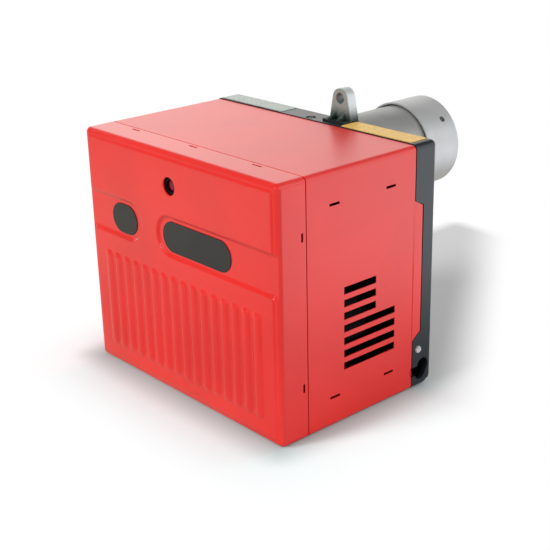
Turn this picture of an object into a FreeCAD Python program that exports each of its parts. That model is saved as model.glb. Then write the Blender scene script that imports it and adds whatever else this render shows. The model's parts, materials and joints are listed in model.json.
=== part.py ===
import FreeCAD, Part
import math
import os

# An oil burner: a drawn red cover over a cast housing, with a blast tube at the rear.
# Sizes are in millimetres. A piece is drawn with x from the middle of the cover to the right,
# y from the cover's front face to the rear, and z up from the base. save() then moves it so that
# the origin is where the blast tube's axis meets the flange face, with +Y along the tube.

V = FreeCAD.Vector
X_AXIS = V(1, 0, 0)
Y_AXIS = V(0, 1, 0)
Z_AXIS = V(0, 0, 1)

# Cover. Its height and depth follow from what it holds, further down.
cover_width = 345.0
sheet = 1.2
cover_edge_radius = 6.0
pan_depth = 39.5
seam_gap = 1.0
joggle_length = 8.0
joggle_play = 0.15
cover_clearance = 0.3

# Relief drawn into the front face
plateau_margin = 7.0
plateau_height = 1.0
plateau_slope = 2.5
plateau_corner = 8.0
channel_drop = 99.3
channel_half_height = 26.0
channel_slope = 5.0
channel_depth = 3.0
left_channel_length = 108.5
right_channel_length = 209.5
rib_count = 16
rib_side_margin = 35.4
rib_width = 16.0
rib_height = 2.5
rib_bottom = 25.0
rib_channel_gap = 15.7

# Badges, left bare
badge_thickness = 1.0
badge_height = 37.0
badge_drop = 0.5
small_badge_margin = 46.5
small_badge_width = 49.5
large_badge_margin = 77.5
large_badge_width = 121.0

# Reset button and its hole
button_x = -7.5
button_drop = 39.5
button_hole_radius = 10.4
button_hole_collar = 5.0
bezel_play = 1.0
bezel_bore = 7.0
button_radius = 6.7
button_face = 9.0
button_stroke = 3.0

# Slots in the cover
tab_slot_length = 15.0
tab_slot_width = 2.2
tab_slot_margin = 5.1
tab_slot_spacing = 109.0
tab_slot_shift = -4.0
side_slot_length = 10.4
side_slot_low = 62.3
side_slot_drop = 63.0
panel_slot_length = 15.0
panel_slot_height = 3.0
panel_slot_front = 81.0
panel_slot_rear_margin = 40.0
panel_slot_low = 36.0
panel_slot_drop = 37.5
vent_front = 95.0
vent_short = 50.0
vent_long = 81.0
vent_height = 8.8
vent_pitch = 15.0
vent_top = 158.4
vent_short_count = 3
vent_long_count = 4
side_tab_reach = 13.5
side_tab_low = 73.0
side_tab_drop = 70.5
side_tab_low_rise = 10.0
side_tab_high_rise = 7.0
side_tab_play = 0.5

# Cast housing: a lip that fits inside the cover, and a rim behind it that is flush with the cover
rim_depth = 33.0
rim_gap = 0.5
rim_side_rise = 0.5
rim_top_rise = 1.0
rim_edge_radius = 6.5
rear_edge_radius = 4.0
rear_base_radius = 9.0
housing_wall = 4.0
housing_overlap = 4.0
rear_wall = 5.0
tube_axis_x = 30.0
tube_drop = 51.5
chamber_radius = 48.0
chamber_length = 111.0
chamber_rim_width = 11.0
chamber_rim_depth = 5.0
chamber_scroll_gap = 5.5
collar_wall = 2.5
collar_reach = 3.0
flange_hole_radius = 3.4
flange_hole_spacing_x = 150.0
flange_hole_spacing_z = 76.0
flange_boss_radius = 8.0
flange_boss_depth = 14.0

# Fan, its scroll and the motor line
fan_axis_y = 130.0
fan_radius = 66.5
fan_width = 60.0
fan_plate = 2.0
fan_hub_radius = 13.0
fan_hub_length = 26.0
blade_count = 32
blade_depth = 13.5
blade_thickness = 1.2
scroll_tongue_gap = 5.5
scroll_growth = 26.0
scroll_tongue_angle = 50.0
scroll_side_gap = 8.0
scroll_rear_gap = 7.0
scroll_floor_gap = 8.0
shaft_radius = 6.0
bearing_clearance = 0.04
motor_opening_play = 2.0
motor_plate_lip = 6.5
motor_plate_thickness = 4.0
motor_radius = 50.0
motor_length = 104.0
motor_wall = 2.5
bearing_radius = 13.0
bearing_width = 9.0
stator_length = 52.0
stator_bore = 27.0
rotor_gap = 0.5
coupling_radius = 9.0
coupling_grip = 18.0

# Air intake, damper and its ram
intake_radius = 60.0
intake_wall = 3.0
intake_depth = 26.0
intake_hole_lip = 5.0
throat_reach = 90.0
throat_half_height = 30.0
damper_reach = 78.0
damper_thickness = 1.5
damper_axle_radius = 2.0
damper_play = 0.6
damper_lever = 15.0
damper_lever_radius = 3.0
damper_angle = 60.0
ram_radius = 8.0
ram_rod_radius = 3.0
ram_length = 44.0
ram_clearance = 0.05

# Pump
pump_spigot_radius = 16.0
pump_half_y = 31.0
pump_half_z = 29.0
pump_length = 38.0
pump_cover_length = 8.0
pump_shaft_radius = 4.0
pump_port_offset = 22.0
coil_radius = 14.0
coil_height = 38.0
oil_pipe_radius = 2.5
oil_pipe_bend = 12.0
oil_pipe_drop = 32.5

# Blast tube and combustion head
tube_radius = 52.0
tube_wall = 1.5
ring_step = 4.0
ring_wall = 2.0
ring_start = 89.0
ring_length = 56.0
ring_lip = 5.0
ring_screw_margin = 18.5
ring_screw_radius = 2.0
ring_pad_radius = 6.0
tube_end_margin = 11.0
nozzle_line_radius = 6.0
nozzle_line_margin = 47.0
nozzle_margin = 23.0
disc_margin = 16.5
disc_radius = 43.0
disc_bore = 14.0
disc_thickness = 1.5
disc_slot_count = 12
carrier_clamp_margin = 34.0
electrode_rise = 17.5
electrode_spread = 12.0
insulator_radius = 5.0
insulator_start = 23.0
insulator_margin = 55.0
electrode_clamp_margin = 60.0
electrode_radius = 1.2

# Control box, transformer and the plate that carries the box
control_width = 90.0
control_height = 88.0
control_front = 15.0
control_base_depth = 14.0
carrier_gap = 39.0
plate_thickness = 1.5
transformer_width = 76.0
transformer_height = 78.0
transformer_depth = 80.0
transformer_margin = 60.5
lead_radius = 3.0
capacitor_radius = 15.0
capacitor_length = 58.0

# Lifting eye, plates and screws on the housing
eye_thickness = 14.0
eye_offset = 4.0
eye_width = 35.0
eye_top_radius = 12.0
eye_hole_radius = 6.0
eye_hole_height = 27.0
eye_foot_height = 2.5
eye_foot_margin = 7.0
eye_gusset_height = 11.0
label_thickness = 0.6
label_front_margin = 2.2
label_side_margin = 7.0
silver_plate_screw_gap = 47.0
yellow_plate_eye_gap = 1.0
yellow_plate_margin = 10.5
top_screw_x = -5.0
top_screw_y = 8.5
side_screw_y = 9.4
side_screw_z = 49.6
screw_head_radius = 4.3
screw_shank_radius = 2.0
screw_length = 6.0
screw_recess = 2.4
screw_recess_margin = 2.0

# Opening for the hoses in the housing's right side, measured from the cover's rear edge
hose_radius = 9.0
hose_low_y = 14.4
hose_low_z = 18.6
hose_high_y = 18.4
hose_high_z = 26.8
hose_neck_z = 21.5
hose_neck_height = 11.6
hose_notch_radius = 10.0
hose_notch_z = 22.0
hose_notch_depth = 2.2

# What follows from the sizes above
scroll_start_radius = fan_radius + scroll_tongue_gap
scroll_end_radius = scroll_start_radius + scroll_growth
fan_inner_radius = fan_radius - blade_depth
fan_axis_z = scroll_floor_gap + scroll_end_radius
chamber_rim_radius = chamber_radius + chamber_rim_width
tube_axis_z = fan_axis_z + scroll_start_radius + housing_wall + chamber_rim_radius + chamber_scroll_gap
cover_height = tube_axis_z + tube_drop
body_depth = fan_axis_y + scroll_end_radius + scroll_rear_gap + rear_wall
cover_depth = body_depth - rim_depth

half_width = cover_width / 2
rim_y = plateau_height
rib_span = cover_width - 2 * rib_side_margin
rib_radius = (rib_width ** 2 / 4 + rib_height ** 2) / (2 * rib_height)
channel_middle = cover_height - channel_drop
channel_reach = channel_half_height + channel_slope
rib_top = channel_middle - channel_reach - rib_channel_gap
left_channel_tip = left_channel_length - half_width
right_channel_tip = half_width - right_channel_length
badge_middle = channel_middle - badge_drop
small_badge_left = small_badge_margin - half_width
large_badge_left = half_width - large_badge_margin - large_badge_width
button_z = cover_height - button_drop
bezel_radius = button_hole_radius - bezel_play
tab_slot_y = pan_depth - tab_slot_margin
side_slot_high = cover_height - side_slot_drop
panel_slot_rear = cover_depth - panel_slot_rear_margin
panel_slot_high = cover_height - panel_slot_drop
side_tab_high = cover_height - side_tab_drop

housing_half_width = half_width - sheet - cover_clearance
housing_top = cover_height - sheet - cover_clearance
housing_bottom = sheet + cover_clearance
housing_front = cover_depth - housing_overlap
rim_half_width = half_width + rim_side_rise
rim_top = cover_height + rim_top_rise
scroll_left = tube_axis_x - fan_width / 2 - scroll_side_gap
scroll_right = tube_axis_x + fan_width / 2 + scroll_side_gap
fan_left = tube_axis_x - fan_width / 2
fan_right = tube_axis_x + fan_width / 2
chamber_front = body_depth - chamber_length
chamber_cover_front = chamber_front - housing_wall
motor_opening_radius = fan_radius + motor_opening_play
motor_plate_radius = motor_opening_radius + motor_plate_lip
motor_right = scroll_left - housing_wall
shell_right = motor_right - motor_plate_thickness
shell_left = shell_right - motor_length
intake_left = scroll_right + housing_wall
intake_right = intake_left + intake_depth
intake_hole_radius = fan_inner_radius - intake_hole_lip
throat_front = fan_axis_y - throat_reach
damper_y = fan_axis_y - damper_reach
oil_pipe_level = tube_axis_z - oil_pipe_drop

ring_radius = tube_radius + ring_step
ring_front = body_depth + ring_start
ring_end = ring_front + ring_length
ring_screw_y = ring_end - ring_screw_margin
tube_end = ring_end - tube_end_margin
nozzle_line_end = ring_end - nozzle_line_margin
nozzle_tip = ring_end - nozzle_margin
disc_y = ring_end - disc_margin
insulator_front = chamber_front + insulator_start
insulator_end = ring_end - insulator_margin
transformer_middle = transformer_margin - half_width
eye_front = body_depth - eye_thickness
eye_x = tube_axis_x + eye_offset
eye_hole_z = rim_top + eye_hole_height


def box(x0, x1, y0, y1, z0, z1):
    return Part.makeBox(x1 - x0, y1 - y0, z1 - z0, V(x0, y0, z0))


def along_x(radius, x0, x1, y, z):
    return Part.makeCylinder(radius, x1 - x0, V(x0, y, z), X_AXIS)


def along_y(radius, y0, y1, x, z):
    return Part.makeCylinder(radius, y1 - y0, V(x, y0, z), Y_AXIS)


def along_z(radius, z0, z1, x, y):
    return Part.makeCylinder(radius, z1 - z0, V(x, y, z0), Z_AXIS)


def polar(radius, degrees):
    turn = math.radians(degrees)
    return radius * math.cos(turn), radius * math.sin(turn)


def turned(profile, start, axis):
    """A closed profile of points swept a full turn about an axis."""
    face = Part.Face(Part.makePolygon(profile + [profile[0]]))
    return face.revolve(start, axis, 360)


def rounded_x(x0, x1, y0, y1, z0, z1, radius):
    """A block whose four edges along X are rounded."""
    block = box(x0, x1, y0, y1, z0, z1)
    edges = [e for e in block.Edges if abs(e.tangentAt(0).x) > 0.9]
    return block.makeFillet(radius, edges)


def rounded_y(x0, x1, y0, y1, z0, z1, radius):
    """A block whose four edges along Y are rounded."""
    block = box(x0, x1, y0, y1, z0, z1)
    edges = [e for e in block.Edges if abs(e.tangentAt(0).y) > 0.9]
    return block.makeFillet(radius, edges)


def save(name, shape):
    """Moves a piece to the flange frame and writes it under its node name."""
    shift = V(-tube_axis_x, -body_depth, -tube_axis_z)
    moved = shape.removeSplitter()
    moved.translate(shift)
    moved.exportStep("parts/" + name + ".step")


# Front pan, drawn from one sheet: the same form is built twice, the second a sheet's thickness
# inside the first, and the difference is the wall.
def pan_box(inset, rear_y):
    front_y = rim_y + inset
    side = half_width - inset
    block = box(-side, side, front_y, rear_y, inset, cover_height - inset)
    edges = []
    for edge in block.Edges:
        middle = edge.CenterOfMass
        if abs(middle.y - front_y) < 0.01 or abs(edge.tangentAt(0).y) > 0.9:
            if abs(middle.y - rear_y) > 0.01:
                edges.append(edge)
    return block.makeFillet(cover_edge_radius - inset, edges)


def rounded_wire(margin, radius, y):
    """The cover's outline moved in by a margin, in the plane y."""
    side = half_width - margin - radius
    low = margin + radius
    high = cover_height - margin - radius
    corners = [V(-side, y, low), V(side, y, low), V(side, y, high), V(-side, y, high)]
    inner = Part.makePolygon(corners + [corners[0]])
    return inner.makeOffset2D(radius)


def plateau(inset):
    base_y = rim_y + inset + 0.5
    slope = plateau_slope / plateau_height
    wide = rounded_wire(plateau_margin + inset - 0.5 * slope, plateau_corner, base_y)
    narrow = rounded_wire(plateau_margin + plateau_slope + inset, plateau_corner, inset)
    return Part.makeLoft([wide, narrow], True, True)


def channel(tip_x, open_x, inset):
    """The sloped recess that runs from a round end out through one edge of the face."""
    side = 1 if open_x > tip_x else -1
    centre_x = tip_x + side * channel_half_height
    wires = []
    for y in (-channel_depth, channel_depth + inset):
        radius = channel_half_height - channel_slope * y / channel_depth + inset
        top = V(centre_x, y, channel_middle + radius)
        tip = V(centre_x - side * radius, y, channel_middle)
        low = V(centre_x, y, channel_middle - radius)
        far_low = V(open_x, y, channel_middle - radius)
        far_top = V(open_x, y, channel_middle + radius)
        round_end = Part.Arc(top, tip, low).toShape()
        run_out = Part.makePolygon([low, far_low, far_top, top])
        wires.append(Part.Wire([round_end] + run_out.Edges))
    return Part.makeLoft(wires, True, True)


def rib(x, inset):
    """One pressed rib: the front of a round bar with ball ends that lies behind the face."""
    radius = rib_radius - inset
    centre_y = rib_radius - rib_height
    low = rib_bottom + rib_width / 2
    high = rib_top - rib_width / 2
    bar = along_z(radius, low, high, x, centre_y)
    balls = [Part.makeSphere(radius, V(x, centre_y, z)) for z in (low, high)]
    bar = bar.fuse(balls)
    window = box(x - rib_width, x + rib_width, -rib_height - 1, inset + 0.3, 0, cover_height)
    return bar.common(window)


def pan_form(inset, rear_y):
    form = pan_box(inset, rear_y).fuse(plateau(inset))
    pitch = rib_span / (rib_count - 1)
    ribs = [rib(-rib_span / 2 + n * pitch, inset) for n in range(rib_count)]
    form = form.fuse(ribs)
    beyond = half_width + 5
    form = form.cut(channel(left_channel_tip, -beyond, inset))
    return form.cut(channel(right_channel_tip, beyond, inset))


def joggle():
    """The stepped rear edge of the pan, which slides inside the other half of the cover."""
    start = pan_depth - 3
    end = pan_depth + joggle_length
    inner = 2 * sheet + joggle_play
    hollow = cover_sleeve(inner, start - 1, end + 1)
    joined = cover_sleeve(sheet / 2, start, pan_depth).cut(hollow)
    stepped = cover_sleeve(sheet + joggle_play, pan_depth - 1, end).cut(hollow)
    return joined.fuse(stepped)


def cover_sleeve(inset, y0, y1):
    side = half_width - inset
    radius = cover_edge_radius - inset
    return rounded_y(-side, side, y0, y1, inset, cover_height - inset, radius)


def front_pan():
    pan = pan_form(0, pan_depth).cut(pan_form(sheet, pan_depth + 1))
    pan = pan.fuse(joggle())
    collar = along_y(button_hole_radius + sheet, 0, button_hole_collar, button_x, button_z)
    pan = pan.fuse(collar)
    pan = pan.cut(along_y(button_hole_radius, -1, button_hole_collar + 1, button_x, button_z))
    half_slot = tab_slot_length / 2
    front = tab_slot_y - tab_slot_width / 2
    rear = tab_slot_y + tab_slot_width / 2
    for n in (-1, 0, 1):
        x = tab_slot_shift + n * tab_slot_spacing
        top = cover_height + 1
        pan = pan.cut(box(x - half_slot, x + half_slot, front, rear, top - 3 * sheet, top))
    for z in (side_slot_low, side_slot_high):
        half = side_slot_length / 2
        pan = pan.cut(box(half_width - 2 * sheet, half_width + 1, front, rear, z - half, z + half))
        pan = pan.cut(box(-half_width - 1, 2 * sheet - half_width, front, rear, z - half, z + half))
    return pan


def side_tab(x0, x1, margin):
    """The part of a side panel that reaches back over the housing, or with a margin its pocket."""
    start = cover_depth - 1
    reach = cover_depth + side_tab_reach + margin
    low = side_tab_low - margin
    high = side_tab_high + margin
    points = [
        V(x0, start, low - side_tab_low_rise),
        V(x0, cover_depth, low - side_tab_low_rise),
        V(x0, reach, low),
        V(x0, reach, high),
        V(x0, cover_depth, high + side_tab_high_rise),
        V(x0, start, high + side_tab_high_rise),
    ]
    return Part.Face(Part.makePolygon(points + [points[0]])).extrude(V(x1 - x0, 0, 0))


def wrapper():
    start = pan_depth + seam_gap
    shell = cover_sleeve(0, start, cover_depth).cut(cover_sleeve(sheet, start - 1, cover_depth + 1))
    right_tab = side_tab(half_width - sheet, half_width, 0)
    left_tab = side_tab(-half_width, sheet - half_width, 0)
    shell = shell.fuse([right_tab, left_tab])
    tools = []
    half = panel_slot_length / 2
    for y in (panel_slot_front, panel_slot_rear):
        for z in (panel_slot_low, panel_slot_high):
            low = z - panel_slot_height / 2
            high = low + panel_slot_height
            tools.append(box(half_width - 2 * sheet, half_width + 1, y - half, y + half, low, high))
            tools.append(box(-half_width - 1, 2 * sheet - half_width, y - half, y + half, low, high))
    for n in range(vent_short_count + vent_long_count):
        length = vent_short if n < vent_short_count else vent_long
        low = vent_top - n * vent_pitch - vent_height / 2
        rear = vent_front + length
        tools.append(box(half_width - 2 * sheet, half_width + 1, vent_front, rear, low, low + vent_height))
    notch_y = cover_depth - hose_notch_depth + hose_notch_radius
    tools.append(along_x(hose_notch_radius, half_width - 2 * sheet, half_width + 1, notch_y, hose_notch_z))
    return shell.cut(tools)


def badge(left, width):
    radius = badge_height / 2
    rear = channel_depth
    front = rear - badge_thickness
    right = left + width
    bar = box(left + radius, right - radius, front, rear, badge_middle - radius, badge_middle + radius)
    ends = [along_y(radius, front, rear, x, badge_middle) for x in (left + radius, right - radius)]
    return bar.fuse(ends)


# Cast housing: a shallow tray that closes the cover, the fan's scroll, and the chamber that
# leads the air into the blast tube.
def scroll_profile(offset):
    """The scroll's outline, a spiral about the fan axis that leaves straight up into the chamber."""
    steps = 18
    points = []
    for n in range(steps + 1):
        share = n / steps
        angle = scroll_tongue_angle + share * (360 - scroll_tongue_angle)
        radius = scroll_start_radius + share * (scroll_end_radius - scroll_start_radius) + offset
        y, z = polar(radius, angle)
        points.append(V(0, fan_axis_y + y, fan_axis_z + z))
    curve = Part.BSplineCurve()
    curve.interpolate(points)
    centre = V(0, fan_axis_y, fan_axis_z)
    closing = Part.makePolygon([points[-1], centre, points[0]])
    return Part.Face(Part.Wire([curve.toShape()] + closing.Edges))


def scroll(offset, x0, x1):
    disc = scroll_profile(offset).extrude(V(x1 - x0, 0, 0))
    disc.translate(V(x0, 0, 0))
    tongue_y = fan_axis_y + polar(scroll_start_radius, scroll_tongue_angle)[0] - offset
    rear_y = fan_axis_y + scroll_end_radius + offset
    round_the_fan = along_x(scroll_start_radius + offset, x0, x1, fan_axis_y, fan_axis_z)
    duct = box(x0, x1, tongue_y, rear_y, fan_axis_z, tube_axis_z)
    return disc.fuse([round_the_fan, duct])


def chamber(offset, y0, y1):
    bore = along_y(chamber_radius + offset, y0, y1, tube_axis_x, tube_axis_z)
    ceiling = housing_top - housing_wall + offset
    return bore.common(box(-half_width, half_width, y0, y1, 0, ceiling))


def tray():
    """The shallow tray that closes the cover, with pockets for the tabs of the side panels."""
    side = housing_half_width
    lip_rear = cover_depth + 2 * rim_gap
    lip_radius = cover_edge_radius - sheet - cover_clearance
    lip = rounded_y(-side, side, housing_front, lip_rear, housing_bottom, housing_top, lip_radius)
    outer = rim_half_width
    rim = rounded_y(-outer, outer, cover_depth + rim_gap, body_depth, 0, rim_top, rim_edge_radius)
    edges = [e for e in rim.Edges if abs(e.CenterOfMass.y - body_depth) < 0.01]
    rim = rim.makeFillet(rear_edge_radius, edges)
    rounded_base = rounded_x(
        -cover_width, cover_width, -cover_depth, body_depth, 0, 2 * cover_height, rear_base_radius
    )
    rim = rim.common(rounded_base)
    pockets = [side_tab(side, outer + 1, side_tab_play), side_tab(-outer - 1, -side, side_tab_play)]
    inset = housing_wall
    hollow = rounded_y(
        -side + inset, side - inset, housing_front - 1, body_depth - rear_wall,
        housing_bottom + inset, housing_top - inset, housing_wall,
    )
    return lip.fuse(rim).cut(pockets + [hollow])


def flange_hole_places():
    places = []
    for side in (-1, 1):
        for rise in (-1, 1):
            x = tube_axis_x + side * flange_hole_spacing_x / 2
            z = tube_axis_z + rise * flange_hole_spacing_z / 2
            places.append((x, z))
    return places


def hose_opening():
    """The opening in the right side for the hoses: a slanted oval with a neck to the front."""
    x0 = housing_half_width - 2 * housing_wall
    x1 = rim_half_width + 1
    start = V(x0, cover_depth + hose_low_y, hose_low_z)
    end = V(x0, cover_depth + hose_high_y, hose_high_z)
    run = end - start
    across = V(0, -run.z, run.y).normalize() * hose_radius
    low = along_x(hose_radius, x0, x1, start.y, start.z)
    high = along_x(hose_radius, x0, x1, end.y, end.z)
    corners = [start + across, end + across, end - across, start - across]
    bridge = Part.Face(Part.makePolygon(corners + [corners[0]])).extrude(V(x1 - x0, 0, 0))
    neck_low = hose_neck_z - hose_neck_height / 2
    neck = box(x0, x1, housing_front - 1, start.y, neck_low, neck_low + hose_neck_height)
    return low.fuse([high, bridge, neck])


def ram_boss():
    middle = (scroll_left + scroll_right) / 2
    top = ram_axis_z() + ram_radius
    front = ram_axis_y() + ram_radius
    rear = fan_axis_y - scroll_start_radius / 2
    return box(middle - 12, middle + 12, front, rear, top - 12, top)


def fan_housing():
    wall = housing_wall
    rim_rear = chamber_front + chamber_rim_depth
    rim = along_y(chamber_rim_radius, chamber_front, rim_rear, tube_axis_x, tube_axis_z)
    rim = rim.common(box(-half_width, half_width, 0, body_depth, 0, housing_top))
    collar_radius = tube_radius + collar_wall
    collar = along_y(collar_radius, body_depth, body_depth + collar_reach, tube_axis_x, tube_axis_z)
    root_front = body_depth - 2 * rear_edge_radius
    collar_root = along_y(collar_radius, root_front, body_depth, tube_axis_x, tube_axis_z)
    collar_root = collar_root.common(box(-half_width, half_width, 0, body_depth, 0, housing_top))
    bosses = [
        along_y(flange_boss_radius, body_depth - flange_boss_depth, body_depth - 1, x, z)
        for x, z in flange_hole_places()
    ]
    body = tray().fuse(
        [
            scroll(wall, scroll_left - wall, scroll_right + wall),
            chamber(wall, chamber_front, body_depth - 1),
            rim,
            collar_root,
            collar,
            ram_boss(),
        ]
        + bosses
    )
    tools = [
        scroll(0, scroll_left, scroll_right),
        chamber(0, chamber_front - 1, body_depth),
        along_y(tube_radius, body_depth, body_depth + collar_reach + 1, tube_axis_x, tube_axis_z),
        along_x(motor_opening_radius, scroll_left - wall - 1, scroll_left + 1, fan_axis_y, fan_axis_z),
        along_x(intake_hole_radius, scroll_right - 1, scroll_right + wall + 1, fan_axis_y, fan_axis_z),
        hose_opening(),
    ]
    top = top_screw_place()
    side = side_screw_place()
    tools.append(along_z(screw_head_radius + screw_recess_margin, top.z, rim_top + 1, top.x, top.y))
    tools.append(along_z(screw_shank_radius, top.z - 2 * housing_wall, rim_top, top.x, top.y))
    tools.append(along_x(screw_shank_radius, side.x - 2 * housing_wall, side.x + 1, side.y, side.z))
    for x, z in flange_hole_places():
        tools.append(along_y(flange_hole_radius, body_depth - flange_boss_depth - 1, body_depth + 1, x, z))
    return body.cut(tools)


def lifting_eye():
    """The lug with a round top that the burner hangs from, on a foot with two gussets."""
    half = eye_width / 2
    top = V(eye_x, eye_front, eye_hole_z + eye_top_radius)
    side_x, side_z = polar(eye_top_radius, 12)
    right = V(eye_x + side_x, eye_front, eye_hole_z + side_z)
    left = V(eye_x - side_x, eye_front, eye_hole_z + side_z)
    arc = Part.Arc(right, top, left).toShape()
    low_left = V(eye_x - half, eye_front, rim_top)
    low_right = V(eye_x + half, eye_front, rim_top)
    sides = Part.makePolygon([left, low_left, low_right, right])
    eye = Part.Face(Part.Wire([arc] + sides.Edges)).extrude(V(0, eye_thickness, 0))
    foot_front = cover_depth + eye_foot_margin
    foot_top = rim_top + eye_foot_height
    foot_rear = body_depth - rear_edge_radius
    eye = eye.fuse(box(eye_x - half, eye_x + half, foot_front, foot_rear, rim_top, foot_top))
    for x in (eye_x - half * 0.45, eye_x + half * 0.4):
        points = [
            V(x - 1.5, foot_front + 1, foot_top - 1),
            V(x - 1.5, eye_front + 1, foot_top - 1),
            V(x - 1.5, eye_front + 1, rim_top + eye_gusset_height),
            V(x - 1.5, foot_front + 1, foot_top + 1.5),
        ]
        eye = eye.fuse(Part.Face(Part.makePolygon(points + [points[0]])).extrude(V(3, 0, 0)))
    hole = along_y(eye_hole_radius, eye_front - 1, body_depth + 1, eye_x, eye_hole_z)
    eye = eye.cut(hole)
    mouths = [e for e in eye.Edges if e.Closed and abs(e.Curve.Radius - eye_hole_radius) < 0.01]
    return eye.makeChamfer(1.0, mouths)


def top_plate(x0, x1):
    front = cover_depth + label_front_margin
    rear = body_depth - rear_edge_radius
    return box(x0, x1, front, rear, rim_top, rim_top + label_thickness)


def silver_plate():
    return top_plate(label_side_margin - half_width, top_screw_x - silver_plate_screw_gap)


def yellow_plate():
    left = eye_x + eye_width / 2 + yellow_plate_eye_gap
    return top_plate(left, half_width - yellow_plate_margin)


def top_screw_place():
    return V(top_screw_x, cover_depth + top_screw_y, rim_top - screw_recess)


def side_screw_place():
    return V(rim_half_width, cover_depth + side_screw_y, side_screw_z)


def slotted_screw():
    """A pan-head screw along +Z with its head on z = 0 and a slot across the head."""
    radius = screw_head_radius
    height = radius * 0.55
    head = Part.makeCylinder(radius, height / 2)
    head = head.fuse(Part.makeCone(radius, radius * 0.8, height / 2, V(0, 0, height / 2)))
    head = head.cut(box(-radius, radius, -0.5, 0.5, height * 0.55, height + 1))
    return head.fuse(Part.makeCylinder(screw_shank_radius, screw_length, V(0, 0, -screw_length)))


def pointed(screw, direction, place):
    """Turns a screw drawn along +Z to a direction and puts it in its place."""
    turn = FreeCAD.Rotation(Z_AXIS, direction)
    screw.Placement = FreeCAD.Placement(place, turn)
    return screw


def housing_screws():
    top = pointed(slotted_screw(), Z_AXIS, top_screw_place())
    side = pointed(slotted_screw(), X_AXIS, side_screw_place())
    return Part.makeCompound([top, side])


# Blast tube and combustion head
def ring_of_y(outer, inner, y0, y1):
    shell = along_y(outer, y0, y1, tube_axis_x, tube_axis_z)
    return shell.cut(along_y(inner, y0 - 1, y1 + 1, tube_axis_x, tube_axis_z))


def ring_screw_directions():
    return [V(math.cos(math.radians(a)), 0, math.sin(math.radians(a))) for a in (40, 160, 280)]


def air_tube():
    tube = ring_of_y(tube_radius, tube_radius - tube_wall, body_depth, tube_end)
    pads = []
    for direction in ring_screw_directions():
        start = V(tube_axis_x, ring_screw_y, tube_axis_z) + direction * (tube_radius - tube_wall / 2)
        pads.append(Part.makeCylinder(ring_pad_radius, ring_radius - tube_radius, start, direction))
    inner = ring_radius - ring_wall
    within = along_y(inner, ring_front, ring_end, tube_axis_x, tube_axis_z)
    return tube.fuse([pad.common(within) for pad in pads])


def blast_tube():
    """The wider end tube, with a lip rolled in at the mouth to hold the flame."""
    inner = ring_radius - ring_wall
    profile = [
        V(ring_radius, ring_front, 0),
        V(ring_radius, ring_end - 1.5, 0),
        V(ring_radius - 1.5, ring_end, 0),
        V(inner - ring_lip, ring_end, 0),
        V(inner - ring_lip, ring_end - ring_wall, 0),
        V(inner - 1.5, ring_end - ring_wall, 0),
        V(inner, ring_end - ring_wall - 1.5, 0),
        V(inner, ring_front, 0),
    ]
    ring = turned(profile, V(0, 0, 0), Y_AXIS)
    ring.translate(V(tube_axis_x, 0, tube_axis_z))
    centre = V(tube_axis_x, ring_screw_y, tube_axis_z)
    for direction in ring_screw_directions():
        start = centre + direction * (inner - 1)
        hole_radius = ring_screw_radius + 0.1
        ring = ring.cut(Part.makeCylinder(hole_radius, ring_wall + 2, start, direction))
        sink_start = centre + direction * (ring_radius - ring_wall + 0.1)
        sink = Part.makeCone(hole_radius, 2 * hole_radius, ring_wall, sink_start, direction)
        ring = ring.cut(sink)
    return ring


def ring_screws():
    """Countersunk cross-head screws that hold the wider tube on the air tube."""
    screws = []
    centre = V(tube_axis_x, ring_screw_y, tube_axis_z)
    for direction in ring_screw_directions():
        radius = ring_screw_radius
        head = Part.makeCone(radius, 2 * radius, ring_wall - 0.1, V(0, 0, 0), Z_AXIS)
        for turn in (0, 90):
            half = 1.1 * radius
            cross = box(-half, half, -0.2 * radius, 0.2 * radius, ring_wall * 0.4, ring_wall + 1)
            cross.rotate(V(0, 0, 0), Z_AXIS, turn)
            head = head.cut(cross)
        screws.append(pointed(head, direction, centre + direction * (ring_radius - ring_wall + 0.1)))
    return Part.makeCompound(screws)


def diffuser_disc():
    """The flame disc: a dished plate with a rim and slanted slots that swirl the air."""
    dish = 4.0
    profile = [
        V(disc_bore, disc_y, 0),
        V(disc_radius - 3, disc_y, 0),
        V(disc_radius, disc_y + 3, 0),
        V(disc_radius, disc_y + dish + 2, 0),
        V(disc_radius - disc_thickness, disc_y + dish + 2, 0),
        V(disc_radius - disc_thickness, disc_y + 3 + disc_thickness / 2, 0),
        V(disc_radius - 3 - disc_thickness / 2, disc_y + disc_thickness, 0),
        V(disc_bore, disc_y + disc_thickness, 0),
    ]
    disc = turned(profile, V(0, 0, 0), Y_AXIS)
    slots = []
    for n in range(disc_slot_count):
        slot = box(disc_bore + 5, disc_radius - 7, disc_y - 1, disc_y + dish, -1.1, 1.1)
        slot.rotate(V(disc_bore + 5, 0, 0), Y_AXIS, 22)
        slot.rotate(V(0, 0, 0), Y_AXIS, n * 360 / disc_slot_count)
        slots.append(slot)
    disc = disc.cut(slots)
    disc.translate(V(tube_axis_x, 0, tube_axis_z))
    return disc


def disc_carrier():
    """A clamp on the nozzle line with three arms that hold the disc and centre it in the tube."""
    y0 = nozzle_line_end - carrier_clamp_margin
    y1 = y0 + 10
    clamp = along_y(nozzle_line_radius + 4, y0, y1, tube_axis_x, tube_axis_z)
    reach = tube_radius - tube_wall - 0.3
    arms = []
    for angle in (30, 150, 270):
        arm = box(nozzle_line_radius + 2, reach, y0 + 2, y0 + 5, -3, 3)
        finger = box(disc_radius - 9, disc_radius - 7, y0 + 2, disc_y, -3, 3)
        arm = arm.fuse(finger)
        arm.rotate(V(0, 0, 0), Y_AXIS, -angle)
        arm.translate(V(tube_axis_x, 0, tube_axis_z))
        arms.append(arm)
    carrier = clamp.fuse(arms)
    return carrier.cut(along_y(nozzle_line_radius, y0 - 1, y1 + 1, tube_axis_x, tube_axis_z))


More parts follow.
